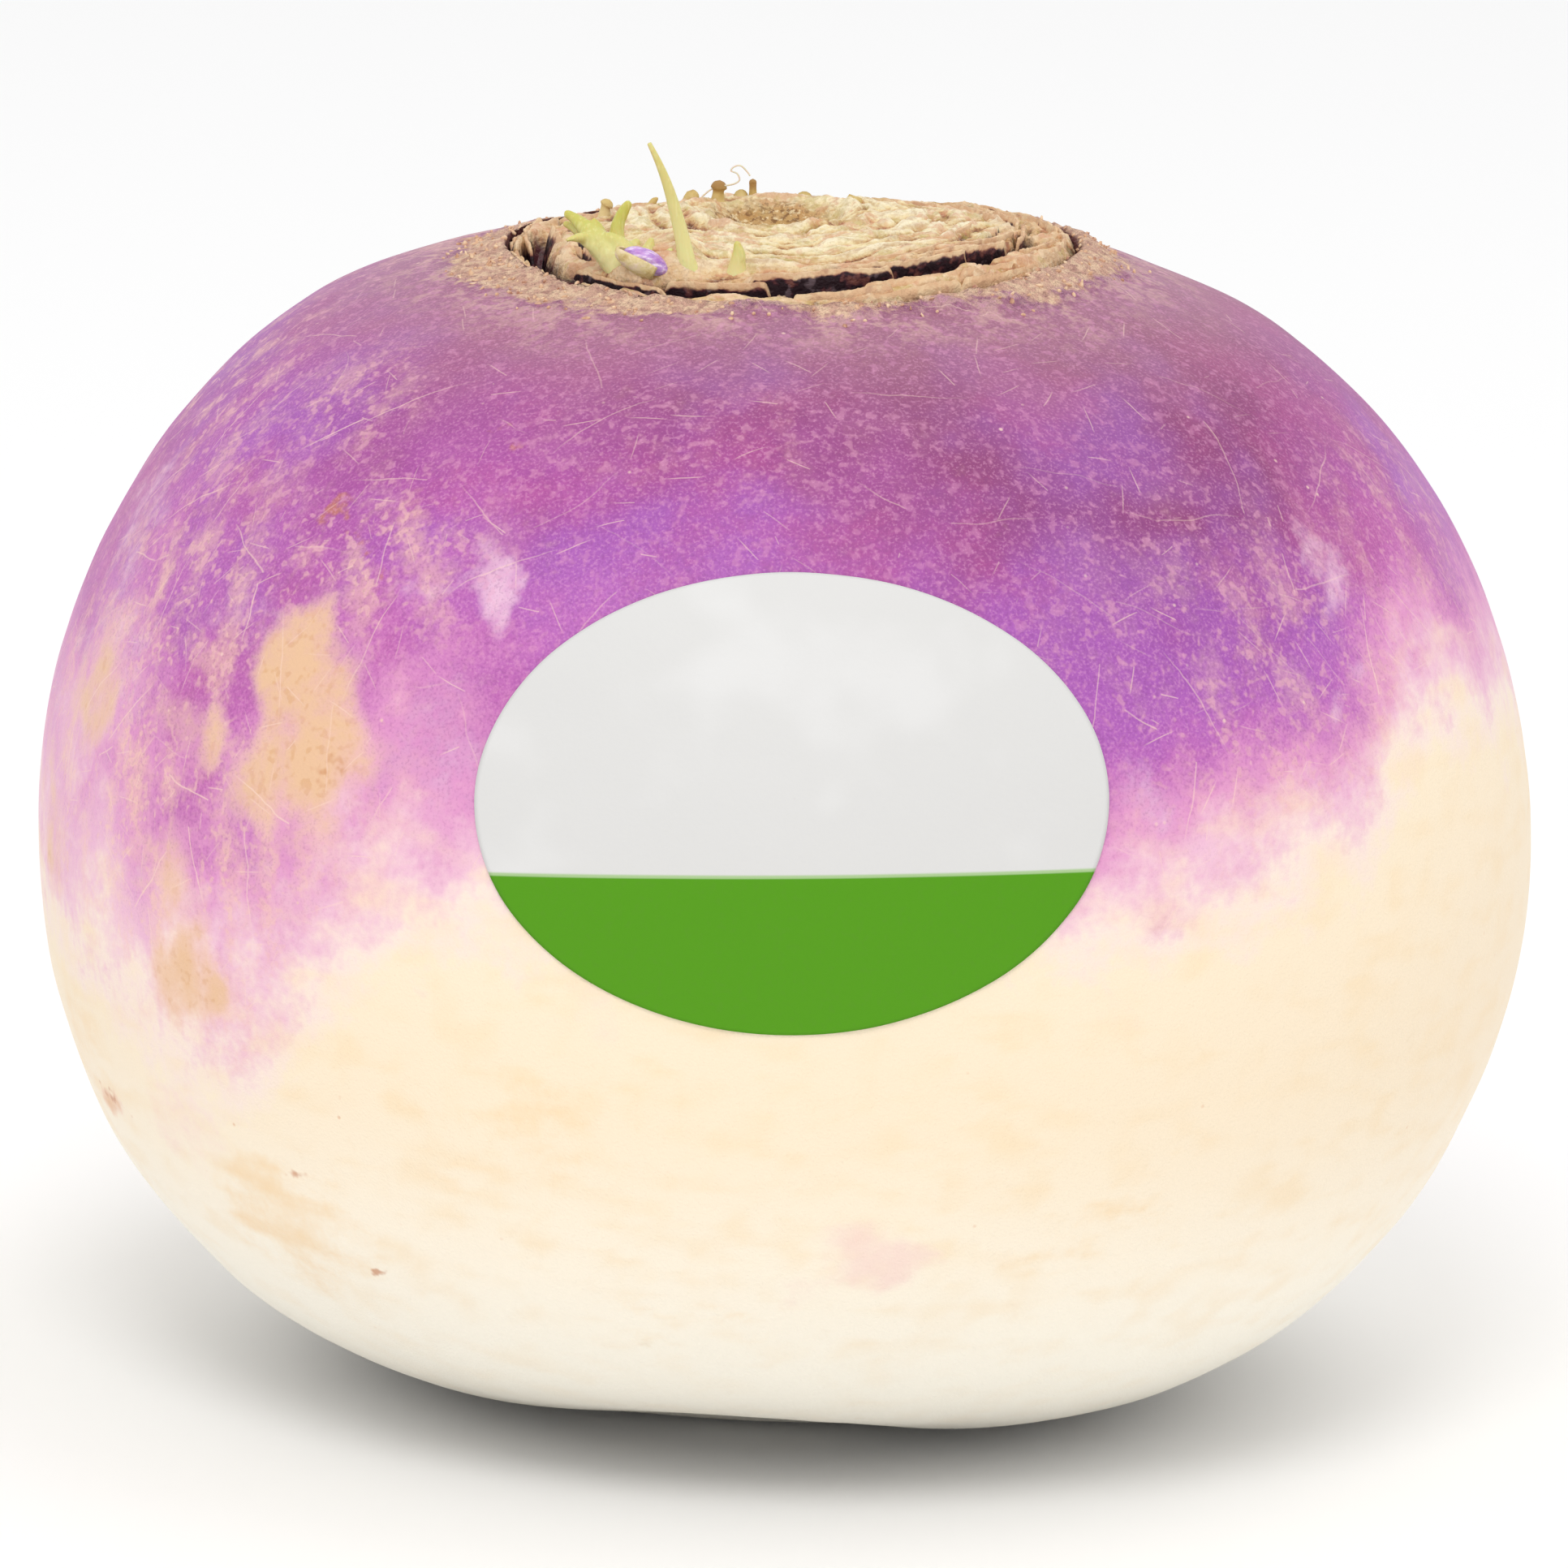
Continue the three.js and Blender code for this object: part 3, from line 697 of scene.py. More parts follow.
# %% [markdown]
# ## The crown
#
# The leaves were twisted off. What is left is a corky mass: rings of old leaf bases, with dark
# slots between them, round a dome with a pit. It could be sculpted by hand, but a formula for the
# height above the rim, worked out for every direction and distance, can be changed by a few
# numbers. The same formula gives the fine folds, which are kept as a value on the mesh, so that
# the colour can follow them: crests are cream, and hollows are painted brown as shade in the
# creases. How dark the slots are is kept too, as painted shade.

# %% Crown measures
DOME_RISE = 1.4
DOME_TOP = 9.4
# Height over the rim of the outer wall and of the plateau's edge, for directions in degrees.
WALL_TOP = [
    (-180, 0.0), (-112, 0.0), (-92, 0.15), (-74, 0.65), (-56, 1.05), (-36, 1.05), (-15, 0.7), (12, 0.5),
    (40, 0.6), (56, 0.8), (72, 0.45), (90, 0.1), (180, 0.0)]
PLATEAU_EDGE = [
    (-180, 0.5), (-135, 0.45), (-108, 0.7), (-92, 1.0), (-74, 1.5), (-56, 1.8), (-38, 1.7), (-15, 1.3),
    (15, 0.9), (56, 0.5), (120, 0.6), (180, 0.5)]
PLATEAU_RADIUS = 13.0
WALL_RADIUS = 14.5
GROOVE_RADIUS = 15.75
GROOVE_DEPTH = 0.5
# How open the groove under the rim is, for directions in degrees.
GROOVE_OPEN = [
    (-180, 0.9), (-150, 0.6), (-128, 1.0), (-100, 0.5), (-84, 1.0), (-52, 0.8), (-38, 0.2), (-12, 0.7),
    (20, 0.2), (48, 0.8), (75, 0.3), (104, 0.7), (130, 0.1), (160, 0.6), (180, 0.9)]
PIT_MIDDLE = (-2, 2.4)
PIT_RADIUS = 4.6
PIT_WALL = 1.5
PIT_DEPTH = 1.3
MOUND_MIDDLE = (-8.3, -9.9)
MOUND_RISE = 1.2
MOUND_TOP = 1.3
MOUND_EDGE = 3.4
# The open slots: direction and half arc in degrees, radius and its drift to either end, half width
# and depth.
SLOTS = [
    (-66, 34, 13.9, -0.5, 0.62, 2.4), (-109, 22, 14.0, 0.3, 0.5, 1.9), (-134, 28, 14.95, -0.2, 0.6, 2.2),
    (190, 24, 14.5, 0.5, 0.8, 2.6), (-14, 12, 13.4, -0.6, 0.5, 2.0), (14, 14, 13.0, 0.5, 0.45, 1.8),
    (56, 18, 14.1, 0.3, 0.6, 1.8), (144, 12, 14.3, 0.3, 0.35, 1.6), (-34, 16, 13.6, -0.5, 0.22, 1.2),
    (100, 24, 13.8, 0.4, 0.22, 0.9), (-30, 30, 11.9, -0.5, 0.16, 0.7), (-150, 26, 12.6, 0.6, 0.22, 0.9)]
FOLD_SPACING = 1.9
CREVICE_WIDTH = 0.13


def turn_between(angle, degrees):
    """How far an angle is from a direction, in degrees: left is negative."""
    return (np.degrees(angle) - degrees + 180) % 360 - 180


def open_slots(distance, angle, ragged):
    """How deep the slots are, and how dark their walls are painted as shade, from 0 to 1."""
    depth = np.zeros_like(distance)
    dark = np.zeros_like(distance)
    for direction, half_arc, radius, drift, width, deep in SLOTS:
        turn = turn_between(angle, direction) / half_arc
        window = smoothstep(-np.abs(turn), -1.1, -0.6)
        aside = (distance - radius - drift * turn + ragged) / (width * (0.35 + 0.65 * window))
        depth = np.maximum(depth, deep * window * np.exp(-aside ** 4))
        dark = np.maximum(dark, window ** 0.5 * np.exp(-(aside / 1.15) ** 4))
    return depth, dark


def crown_mass(distance, angle):
    """Height over the rim plane of the crown's main mass, without its folds and slots."""
    direction = (np.degrees(angle) + 180) % 360 - 180
    wall = np.interp(direction, *np.array(WALL_TOP).T)
    edge = np.interp(direction, *np.array(PLATEAU_EDGE).T)
    plateau = edge * smoothstep(-distance, -PLATEAU_RADIUS - 0.5, -PLATEAU_RADIUS + 0.3)
    dome = np.maximum(DOME_RISE, edge) - edge
    plateau += dome * smoothstep(-distance, -PLATEAU_RADIUS + 0.4, -DOME_TOP)
    outer = wall * smoothstep(-distance, -GROOVE_RADIUS, -WALL_RADIUS - 0.3)
    opened = np.interp(direction, *np.array(GROOVE_OPEN).T)
    groove = GROOVE_DEPTH * (0.2 + opened) * smoothstep(distance, GROOVE_RADIUS - 0.3, GROOVE_RADIUS)
    return np.maximum(plateau, outer) - groove


def crown_height(distance, angle):
    """Height over the rim plane, relief of the folds, painted shade of the slots and groove, and streak,
    for places on the crown.
    """
    x = distance * np.cos(angle) + CROWN_MIDDLE[0]
    y = distance * np.sin(angle) + CROWN_MIDDLE[1]
    flat = np.stack([x, y, np.zeros_like(x)], 1)
    ragged = 0.4 * clouds(flat, 3.2, 3, 2) + 0.14 * clouds(flat, 0.7, 2, 5)
    depth, dark = open_slots(distance, angle, ragged)
    pit_distance = np.hypot(x - PIT_MIDDLE[0], y - PIT_MIDDLE[1])
    pit_angle = np.arctan2(y - PIT_MIDDLE[1], x - PIT_MIDDLE[0])
    pit_wobble = pit_distance + 0.5 * clouds(flat, 2.6, 2, 7)
    pit = PIT_DEPTH * (1 - smoothstep(pit_wobble, PIT_RADIUS - PIT_WALL - 0.6, PIT_RADIUS))
    ring = 0.32 * bump(pit_wobble - PIT_RADIUS - 0.45, 0.5)
    mound_distance = np.hypot(x - MOUND_MIDDLE[0], y - MOUND_MIDDLE[1])
    mound = MOUND_RISE * (1 - smoothstep(mound_distance, MOUND_TOP, MOUND_EDGE))
    warped = pit_distance + 1.5 * clouds(flat, 6, 2, 13) + 0.3 * clouds(flat, 2.2, 2, 15)
    warped = warped + 0.35 * np.sin(angle)
    phase = np.abs((warped / FOLD_SPACING + 0.5) % 1 - 0.5)
    outside = smoothstep(pit_wobble, PIT_RADIUS - 0.4, PIT_RADIUS + 0.8)
    broken = np.clip(0.5 + 1.6 * clouds(flat, 3.6, 2, 17), 0, 1)
    crevices = 0.36 * broken * bump(phase, CREVICE_WIDTH) * outside
    long_way = np.stack([4 * np.cos(pit_angle), 4 * np.sin(pit_angle), 1.5 * warped], 1)
    threads = np.stack([7 * np.cos(pit_angle), 7 * np.sin(pit_angle), 5 * warped], 1)
    fibres = 0.3 * clouds(long_way, 1, 2, 21) + 0.1 * clouds(threads, 1, 2, 25)
    lumps = 0.14 * clouds(flat, 2.6, 2, 19) + 0.05 * clouds(flat, 0.6, 2, 23)
    lumps = lumps + 0.04 * clouds(flat, 0.26, 1, 29)
    relief = lumps + fibres * (0.35 + 0.65 * outside) + 0.1 * phase - crevices
    edge = smoothstep(-distance, -RIM_RADIUS + 0.1, -RIM_RADIUS + 1.2)
    height = crown_mass(distance, angle) + (ring + mound - pit) * edge + relief * (0.4 + 0.6 * edge)
    height = height - depth * (1 - 0.8 * smoothstep(mound, 0.2, 1.0))
    # The groove under the torn edge is painted dark as well: painted shade in the gap.
    opened = np.interp((np.degrees(angle) + 180) % 360 - 180, *np.array(GROOVE_OPEN).T)
    torn_edge = distance - 0.3 * (ragged + 0.3) * (1 - opened)
    gap = smoothstep(torn_edge, GROOVE_RADIUS - 0.2, GROOVE_RADIUS) * (0.3 + opened)
    dark = np.maximum(dark * (1 - smoothstep(mound, 0.3, 1.1)), gap)
    streak = 0.5 + 0.4 * clouds(0.6 * threads + 7, 1, 3, 35)
    return height, relief, dark, streak


# %% [markdown]
# The crown's material reads those values. Noise shifts them, so that colour and form do not match
# too neatly. The pit's floor is browner, the outer rings are peach, the slots are painted almost
# black as shade, with a purple cast and a greyish film, and a few leaf bases are still olive green.

# %% Crown material
# From the hollows of the folds to their crests: the dark brown end is painted shade in the creases.
CROWN_STOPS = [
    (0.0, paint(78, 42, 36)), (0.2, paint(134, 84, 58)), (0.36, paint(190, 144, 100)),
    (0.5, paint(218, 186, 134)), (0.68, paint(236, 217, 170)), (1.0, paint(246, 234, 202))]
# The slots' colours: painted shade, near black with a maroon cast and a greyish film.
SLOT_DARK = paint(38, 17, 27)
SLOT_MAROON = paint(84, 34, 50)
SLOT_FILM = paint(132, 112, 120)
FILM_MIDDLE = (-4.0, -14.0, 65.5)
FILM_SIZE = (5.0, 3.0, 3.0)
PEACH = paint(222, 176, 136)
ROSY_CORK = paint(208, 146, 112)
GREEN_CORK = paint(186, 164, 92)
THREAD = paint(176, 128, 84)
PIT_TAN = paint(184, 140, 78)
PIT_BROWN = paint(112, 72, 38)
PIT_PALE = paint(232, 206, 150)
OLIVE = paint(168, 150, 60)
CRUMB_PALE = paint(250, 238, 210)
# Leaf bases that are still green: middle and half size.
OLIVE_BITS = [
    ((8.6, -3.0, 65.6), (0.8, 0.6, 0.8)), ((9.6, 3.2, 65.5), (0.7, 0.8, 0.8)),
    ((5.6, -7.0, 65.2), (0.9, 0.4, 0.8)), ((-1.6, -10.6, 65.0), (1.2, 0.7, 0.9)),
    ((0.4, 2.4, 64.8), (1.4, 1.0, 0.8)), ((-8.0, 5.0, 65.8), (1.0, 0.8, 0.8))]


def spot(at, middle, size):
    """A soft patch round a point: size is its half extent along x, y and z."""
    offset = at.vector("SUBTRACT", middle).vector("DIVIDE", size)
    return offset.vector("LENGTH", output=1).smooth(1.15, 0.5)


def crown_distance(at):
    """How far a place is from the crown's axis."""
    x, y, _ = at.split()
    across = at.node("ShaderNodeCombineXYZ", {}, {"X": x - CROWN_MIDDLE[0], "Y": y - CROWN_MIDDLE[1]})
    return across.vector("LENGTH", output=1)


def crown_material():
    material, tree, at = new_material("crown_cork")
    lumps = at.clouds(1.5, 3, 0.65, 1)
    lumps_a, lumps_b, lumps_c = lumps.split()
    crumbs_a, crumbs_b, crumbs_c = at.shifted(3).clouds(0.34, 2, 0.65, 1).split()
    distance = crown_distance(at)
    # Low folds are painted dark brown: painted shade in the creases.
    factor = (kept(tree, "fold") + (lumps_a - 0.5) * 0.4 + (crumbs_a - 0.5) * 0.3).smooth(-0.46, 0.26)
    colour = tree.node("ShaderNodeValToRGB", {"stops": CROWN_STOPS}, {"Fac": factor})
    peach = distance.smooth(9.5, 13.5) * factor.smooth(0.3, 0.6)
    colour = colour.blend(peach * 0.6, PEACH)
    rosy = (lumps_b + kept(tree, "streak") * 0.3).smooth(0.64, 0.78)
    colour = colour.blend(rosy * 0.6, ROSY_CORK)
    colour = colour.blend((lumps_c + crumbs_b * 0.3).smooth(0.66, 0.8) * 0.5, GREEN_CORK)
    threads = (kept(tree, "streak") + (crumbs_b - 0.5) * 0.5).smooth(0.5, 0.2)
    colour = colour.blend(threads * 0.5, THREAD)
    pit = at.vector("SUBTRACT", (PIT_MIDDLE[0], PIT_MIDDLE[1] + 0.9, 0)).vector("MULTIPLY", (1, 1, 0))
    floor = (pit.vector("LENGTH", output=1) + (lumps_c - 0.5) * 2.6).smooth(4.3, 2.8)
    colour = colour.blend(floor * 0.85, PIT_TAN)
    colour = colour.blend(floor * crumbs_b.smooth(0.46, 0.62) * 0.75, PIT_BROWN)
    colour = colour.blend(floor * crumbs_c.smooth(0.56, 0.66) * 0.6, PIT_PALE)
    frayed = at.vector("ADD", lumps.vector("MULTIPLY_ADD", (1.4, 1.4, 1.4), (-0.7, -0.7, -0.7)))
    for middle, size in OLIVE_BITS:
        colour = colour.blend(spot(frayed, middle, size) * 0.6, OLIVE)
    colour = colour.blend(crumbs_c.smooth(0.52, 0.7) * 0.3, CRUMB_PALE)
    # The slots, the groove and the hidden wall are painted near black: painted shade.
    dark = (kept(tree, "dark") + (crumbs_a - 0.5) * 0.5).smooth(0.3, 0.7)
    inputs = {"Factor": lumps_b.smooth(0.4, 0.6), 6: SLOT_DARK, 7: SLOT_MAROON}
    film = tree.node("ShaderNodeMix", {"data_type": "RGBA"}, inputs, 2)
    film = film.blend(lumps_a.smooth(0.52, 0.66) * 0.6, SLOT_FILM)
    film = film.blend(spot(at, FILM_MIDDLE, FILM_SIZE) * 0.8, SLOT_MAROON)
    colour = colour.blend(dark * 0.96, film)
    return finish_material(
        material, colour, 0.64 - dark * 0.3, crumbs_a + crumbs_b * 0.7, 0.16, Specular_IOR_Level=0.35)


CROWN = crown_material()

# %% Crown mesh
CROWN_AROUND = 560
CROWN_RINGS = 150
CROWN_EDGE = 15.85
CROWN_FLOOR = 61.2


def crown_cork():
    distance = np.linspace(0, CROWN_EDGE, CROWN_RINGS)
    angle = np.linspace(-math.pi, math.pi, CROWN_AROUND, endpoint=False)
    far, turn = [grid.ravel() for grid in np.meshgrid(distance, angle, indexing="ij")]
    height, fold, dark, streak = crown_height(far, turn)
    x, y, z = uneven(far * np.cos(turn), far * np.sin(turn), np.full_like(far, RIM_HEIGHT))
    top = np.stack([x, y, z + height], 1)
    rim = top[-CROWN_AROUND:]
    wall = np.c_[rim[:, :2], np.full(CROWN_AROUND, CROWN_FLOOR)]
    middle = np.tile([*CROWN_MIDDLE, CROWN_FLOOR], (CROWN_AROUND, 1))
    points = np.vstack([top, wall, middle])
    # The wall and floor under the rim get the darkest folds and full darkness: painted shade.
    hidden = np.full(2 * CROWN_AROUND, 1.0)
    values = {"fold": np.r_[fold, -hidden], "dark": np.r_[dark, hidden], "streak": np.r_[streak, hidden]}
    faces = ring_faces(CROWN_RINGS + 2, CROWN_AROUND)
    piece = make_piece("crown_cork", points, faces, CROWN, values)
    return mend(piece, 1e-7)


crown_piece = crown_cork()
print("crown_cork faces:", len(crown_piece.data.polygons))

# %% [markdown]
# ## Geometry Nodes helpers
#
# What follows a path or repeats is made with Geometry Nodes. The same `Value` class writes their
# sums. A tree's inputs are named, and a modifier's inputs are set by the socket's identifier
# before the result is read. The result becomes a plain mesh.

# %% Geometry Nodes helpers
def new_tree(name, inputs):
    """A geometry tree with named inputs. Gives the tree and its inputs as values."""
    group = bpy.data.node_groups.new(name, "GeometryNodeTree")
    group.interface.new_socket("Geometry", in_out="INPUT", socket_type="NodeSocketGeometry")
    for title, kind in inputs.items():
        group.interface.new_socket(title, in_out="INPUT", socket_type=kind)
    group.interface.new_socket("Geometry", in_out="OUTPUT", socket_type="NodeSocketGeometry")
    entry = group.nodes.new("NodeGroupInput")
    return Value(group), {output.name: Value(group, output) for output in entry.outputs if output.name}


def close_tree(tree, geometry, material):
    realized = tree.node("GeometryNodeRealizeInstances", {}, {"Geometry": geometry})
    painted = tree.node("GeometryNodeSetMaterial", {}, {"Geometry": realized, "Material": material})
    last = tree.tree.nodes.new("NodeGroupOutput")
    tree.tree.links.new(painted.output, last.inputs[0])


def run_tree(tree, name, mesh, inputs):
    """Runs a tree on a mesh, and gives the result as a plain mesh."""
    holder = bpy.data.objects.new(name, mesh)
    bpy.context.scene.collection.objects.link(holder)
    modifier = holder.modifiers.new("nodes", "NODES")
    modifier.node_group = tree.tree
    for item in tree.tree.interface.items_tree:
        if item.in_out == "INPUT" and item.name in inputs:
            modifier[item.identifier] = inputs[item.name]
    holder.update_tag()
    evaluated = holder.evaluated_get(bpy.context.evaluated_depsgraph_get())
    result = bpy.data.meshes.new_from_object(evaluated)
    bpy.data.objects.remove(holder)
    return result


def join_meshes(name, meshes):
    work = bmesh.new()
    for mesh in meshes:
        work.from_mesh(mesh)
    bmesh.ops.remove_doubles(work, verts=work.verts, dist=1e-7)
    bmesh.ops.recalc_face_normals(work, faces=work.faces)
    joined = bpy.data.meshes.new(name)
    work.to_mesh(joined)
    work.free()
    for material in meshes[0].materials:
        joined.materials.append(material)
    joined.shade_smooth()
    piece = bpy.data.objects.new(name, joined)
    bpy.context.scene.collection.objects.link(piece)
    return piece


# %% [markdown]
# ## Torn leaf bases
#
# Thin ragged walls stand in and beside the slots: what is left of the leaves' feet. Each follows
# an arc round the crown. They could be drawn sheet by sheet, but one tree makes them all from a
# list: it lays a flat grid, rolls it into an arc by a formula, frays its top edge with noise, and
# gives it a thickness. The list says each wall's radius, arc, height over the crown, and lean.

# %% Torn layer material
# From painted shade down in the slots up to the lit torn top.
TORN_STOPS = [(0, SLOT_DARK), (0.3, SLOT_MAROON), (0.55, paint(168, 118, 92)), (1, paint(220, 178, 138))]
TORN_PALE = paint(242, 216, 174)
TORN_BROWN = paint(160, 104, 84)


def torn_material():
    material, tree, at = new_material("torn_layer")
    lumps_a, lumps_b, lumps_c = at.clouds(0.9, 2, 0.6, 1).split()
    # Tan near the torn top and near black below it: painted shade down into the slots.
    lit = (kept(tree, "below") + (lumps_a - 0.5) * 2.4).smooth(1.6, 0.7)
    colour = tree.node("ShaderNodeValToRGB", {"stops": TORN_STOPS}, {"Fac": lit})
    colour = colour.blend(lumps_c.smooth(0.5, 0.62) * lit.smooth(0.3, 0.0) * 0.7, SLOT_MAROON)
    colour = colour.blend(lumps_b.smooth(0.56, 0.66) * lit.smooth(0.3, 0.0) * 0.5, SLOT_FILM)
    colour = colour.blend(lumps_b.smooth(0.42, 0.62) * lit * 0.6, TORN_PALE)
    colour = colour.blend(lumps_c.smooth(0.54, 0.68) * 0.4, TORN_BROWN)
    return finish_material(material, colour, 0.6, at.clouds(0.22, 2, 0.7), 0.1, Specular_IOR_Level=0.35)


TORN = torn_material()

# %% Torn layer tree
NUMBER = "NodeSocketFloat"
LAYER_SIZES = [
    "Radius", "Drift", "Start", "Sweep", "Foot", "Height", "Rise", "Thickness", "Lean", "Wobble",
    "Raggedness", "Lit depth", "Seed"]
LAYER_COLUMNS = 120
LAYER_ROWS = 9


def layer_tree():
    sizes = {name: NUMBER for name in LAYER_SIZES}
    tree, given = new_tree("torn_layer", {**sizes, "Material": "NodeSocketMaterial"})
    grid = tree.node("GeometryNodeMeshGrid", {}, {
        "Size X": 1.0, "Size Y": 1.0, "Vertices X": LAYER_COLUMNS, "Vertices Y": LAYER_ROWS})
    x, y, _ = tree.node("GeometryNodeInputPosition", {}, {}).split()
    along, up = x + 0.5, y + 0.5
    angle = given["Start"] + given["Sweep"] * along
    walk = given["Radius"] * angle
    here = tree.node("ShaderNodeCombineXYZ", {}, {"X": walk, "Y": up * 0.8, "Z": given["Seed"]})
    there = tree.node("ShaderNodeCombineXYZ", {}, {"X": walk, "Y": 0.0, "Z": given["Seed"] + 20})
    sway = (here.clouds(3.2, 2) - 0.5) * 2
    fray = there.clouds(1.1, 4, 0.65) + (there.shifted(5).clouds(4.5, 1) - 0.5) * 1.4
    ends = along.smooth(0.0, 0.14) * along.smooth(1.0, 0.86)
    level = given["Height"] + given["Rise"] * along
    top = level * ends - given["Raggedness"] * fray + (ends - 1) * 1.2
    rise = given["Foot"] + up * (top - given["Foot"])
    curl = given["Lean"] * up * up + (here.clouds(0.6, 2) - 0.5) * 0.3
    radius = given["Radius"] + given["Drift"] * (along - 0.5) + given["Wobble"] * sway + curl
    across, back = angle.math("COSINE"), angle.math("SINE")
    tilt = RIM_RISE_RIGHT * across + RIM_RISE_BACK * back + RIM_SADDLE * (2 * angle).math("COSINE")
    place = tree.node("ShaderNodeCombineXYZ", {}, {
        "X": radius * across + CROWN_MIDDLE[0], "Y": radius * back + CROWN_MIDDLE[1],
        "Z": rise + tilt * radius / RIM_RADIUS + RIM_HEIGHT}).vector("SCALE", Scale=MM)
    # How far below the lit top a point is, in shares of the lit depth: the wall is painted in shade below
    # it, and at its ends.
    below = (1 - up) * (top - given["Foot"]) / given["Lit depth"] + (1 - ends) * 3
    shaded = tree.node("GeometryNodeStoreNamedAttribute", {"data_type": "FLOAT"}, {
        "Geometry": grid, "Name": "below", "Value": below})
    bent = tree.node("GeometryNodeSetPosition", {}, {"Geometry": shaded, "Position": place})
    thick = tree.node("GeometryNodeExtrudeMesh", {"mode": "FACES"}, {
        "Mesh": bent, "Offset Scale": given["Thickness"] * MM, "Individual": False})
    inside = tree.node("GeometryNodeFlipFaces", {}, {"Mesh": bent})
    both = tree.node("GeometryNodeJoinGeometry", {}, {"Geometry": thick})
    tree.tree.links.new(inside.output, both.output.node.inputs[0])
    shut = tree.node("GeometryNodeMergeByDistance", {}, {"Geometry": both, "Distance": 1e-7})
    close_tree(tree, shut, given["Material"])
    return tree


# %% Torn layers
# Radius, drift, start and end in degrees, height over the crown's mass, depth of the lit tan edge
# (below it the wall is painted in shade), lean, wobble, raggedness.
LAYERS = [
    (15.6, 0.2, -178, -146, 0.0, 0.8, 0.1, 0.15, 0.5),
    (15.65, 0.2, -150, -108, -0.35, 0.8, 0.1, 0.15, 0.35),
    (15.5, -0.2, -116, -84, -0.15, 0.8, -0.1, 0.12, 0.35),
    (15.2, 0.1, -92, -66, 0.1, 1.0, -0.2, 0.12, 0.35), (15.0, 0.3, -78, -44, 0.1, 1.2, -0.3, 0.2, 0.5),
    (15.1, -0.3, -56, -20, 0.1, 1.2, -0.3, 0.2, 0.5), (15.45, 0.2, -80, -50, -0.35, 0.8, -0.2, 0.12, 0.4),
    (15.5, -0.2, -56, -24, -0.4, 0.8, -0.2, 0.15, 0.4), (15.2, 0.0, -26, 20, 0.05, 0.8, -0.2, 0.15, 0.5),
    (15.2, 0.3, 20, 78, 0.05, 0.14, 0.0, 0.2, 0.45), (15.6, -0.3, 84, 150, 0.0, 0.8, 0.0, 0.2, 0.5),
    (15.5, 0.1, 148, 186, 0.05, 0.8, 0.1, 0.2, 0.5), (14.3, 0.4, -150, -114, 0.15, 0.16, 0.1, 0.2, 0.45),
    (13.5, -0.5, -122, -92, 0.15, 0.3, 0.35, 0.15, 0.4),
    (14.7, -0.4, -112, -80, -0.15, 0.2, 0.2, 0.15, 0.35),
    (13.2, 0.2, -104, -62, 0.2, 0.24, 0.45, 0.25, 0.55),
    (12.95, -0.2, -82, -40, 0.2, 0.24, 0.4, 0.3, 0.6), (12.8, 0.4, -58, -26, 0.2, 0.3, 0.4, 0.25, 0.5),
    (13.4, -1.2, 168, 206, 0.3, 0.4, -0.5, 0.4, 0.7), (14.9, -1.6, 150, 188, 0.2, 0.6, 0.3, 0.3, 0.6),
    (13.0, 1.0, 196, 232, 0.3, 0.4, -0.4, 0.3, 0.7), (14.0, 0.9, -30, -6, 0.2, 0.3, 0.3, 0.25, 0.5),
    (12.6, -0.8, -24, 4, 0.2, 0.3, 0.35, 0.3, 0.5), (14.3, -0.8, 4, 40, 0.15, 0.5, 0.2, 0.25, 0.6),
    (12.4, 0.6, 0, 34, 0.2, 0.3, 0.3, 0.25, 0.5), (13.5, 0.6, 34, 70, 0.15, 0.5, 0.2, 0.25, 0.5),
    (13.2, -0.7, 74, 112, 0.15, 0.5, 0.2, 0.25, 0.5), (13.6, 0.8, 116, 160, 0.1, 0.5, 0.2, 0.25, 0.6),
    (11.7, 1.0, -46, -8, 0.12, 0.6, 0.35, 0.25, 0.35), (11.5, -0.9, -72, -40, 0.12, 0.6, 0.3, 0.25, 0.35),
    (11.6, 1.2, 6, 46, 0.12, 0.6, 0.3, 0.3, 0.4), (11.4, -1.0, 44, 84, 0.1, 0.6, 0.3, 0.3, 0.4),
    (11.8, 0.9, 128, 172, 0.1, 0.6, 0.3, 0.3, 0.5), (9.8, -1.2, -70, -34, 0.1, 1.2, 0.3, 0.25, 0.3),
    (9.4, 1.0, -28, 12, 0.1, 1.2, 0.3, 0.25, 0.3), (9.4, -1.0, 150, 196, 0.1, 1.2, 0.3, 0.3, 0.4)]
LAYER_THICKNESS = 0.17
LAYER_FOOT = -2.4
LAYER_INSET = 4


def mass_at(radius, degrees):
    """The crown's height that a torn layer rises from."""
    inner = np.array([min(radius, WALL_RADIUS) if radius > WALL_RADIUS - 0.6 else radius - 0.5])
    return crown_mass(inner, np.radians([degrees]))[0]


def torn_layers():
    tree = layer_tree()
    meshes = []
    for seed, (radius, drift, start, end, over, lit_depth, lean, wobble, ragged) in enumerate(LAYERS):
        first = mass_at(radius, start + LAYER_INSET)
        last = mass_at(radius, end - LAYER_INSET)
        inputs = {
            "Radius": radius, "Drift": drift, "Start": math.radians(start),
            "Sweep": math.radians(end - start), "Foot": LAYER_FOOT, "Height": first + over + ragged / 2,
            "Rise": last - first, "Thickness": LAYER_THICKNESS, "Lean": lean, "Wobble": wobble,
            "Raggedness": ragged, "Lit depth": lit_depth, "Seed": float(seed * 3), "Material": TORN}
        meshes.append(run_tree(tree, "layer", bpy.data.meshes.new("layer"), inputs))
    return join_meshes("torn_layers", meshes)


layer_piece = torn_layers()
print("torn_layers faces:", len(layer_piece.data.polygons))

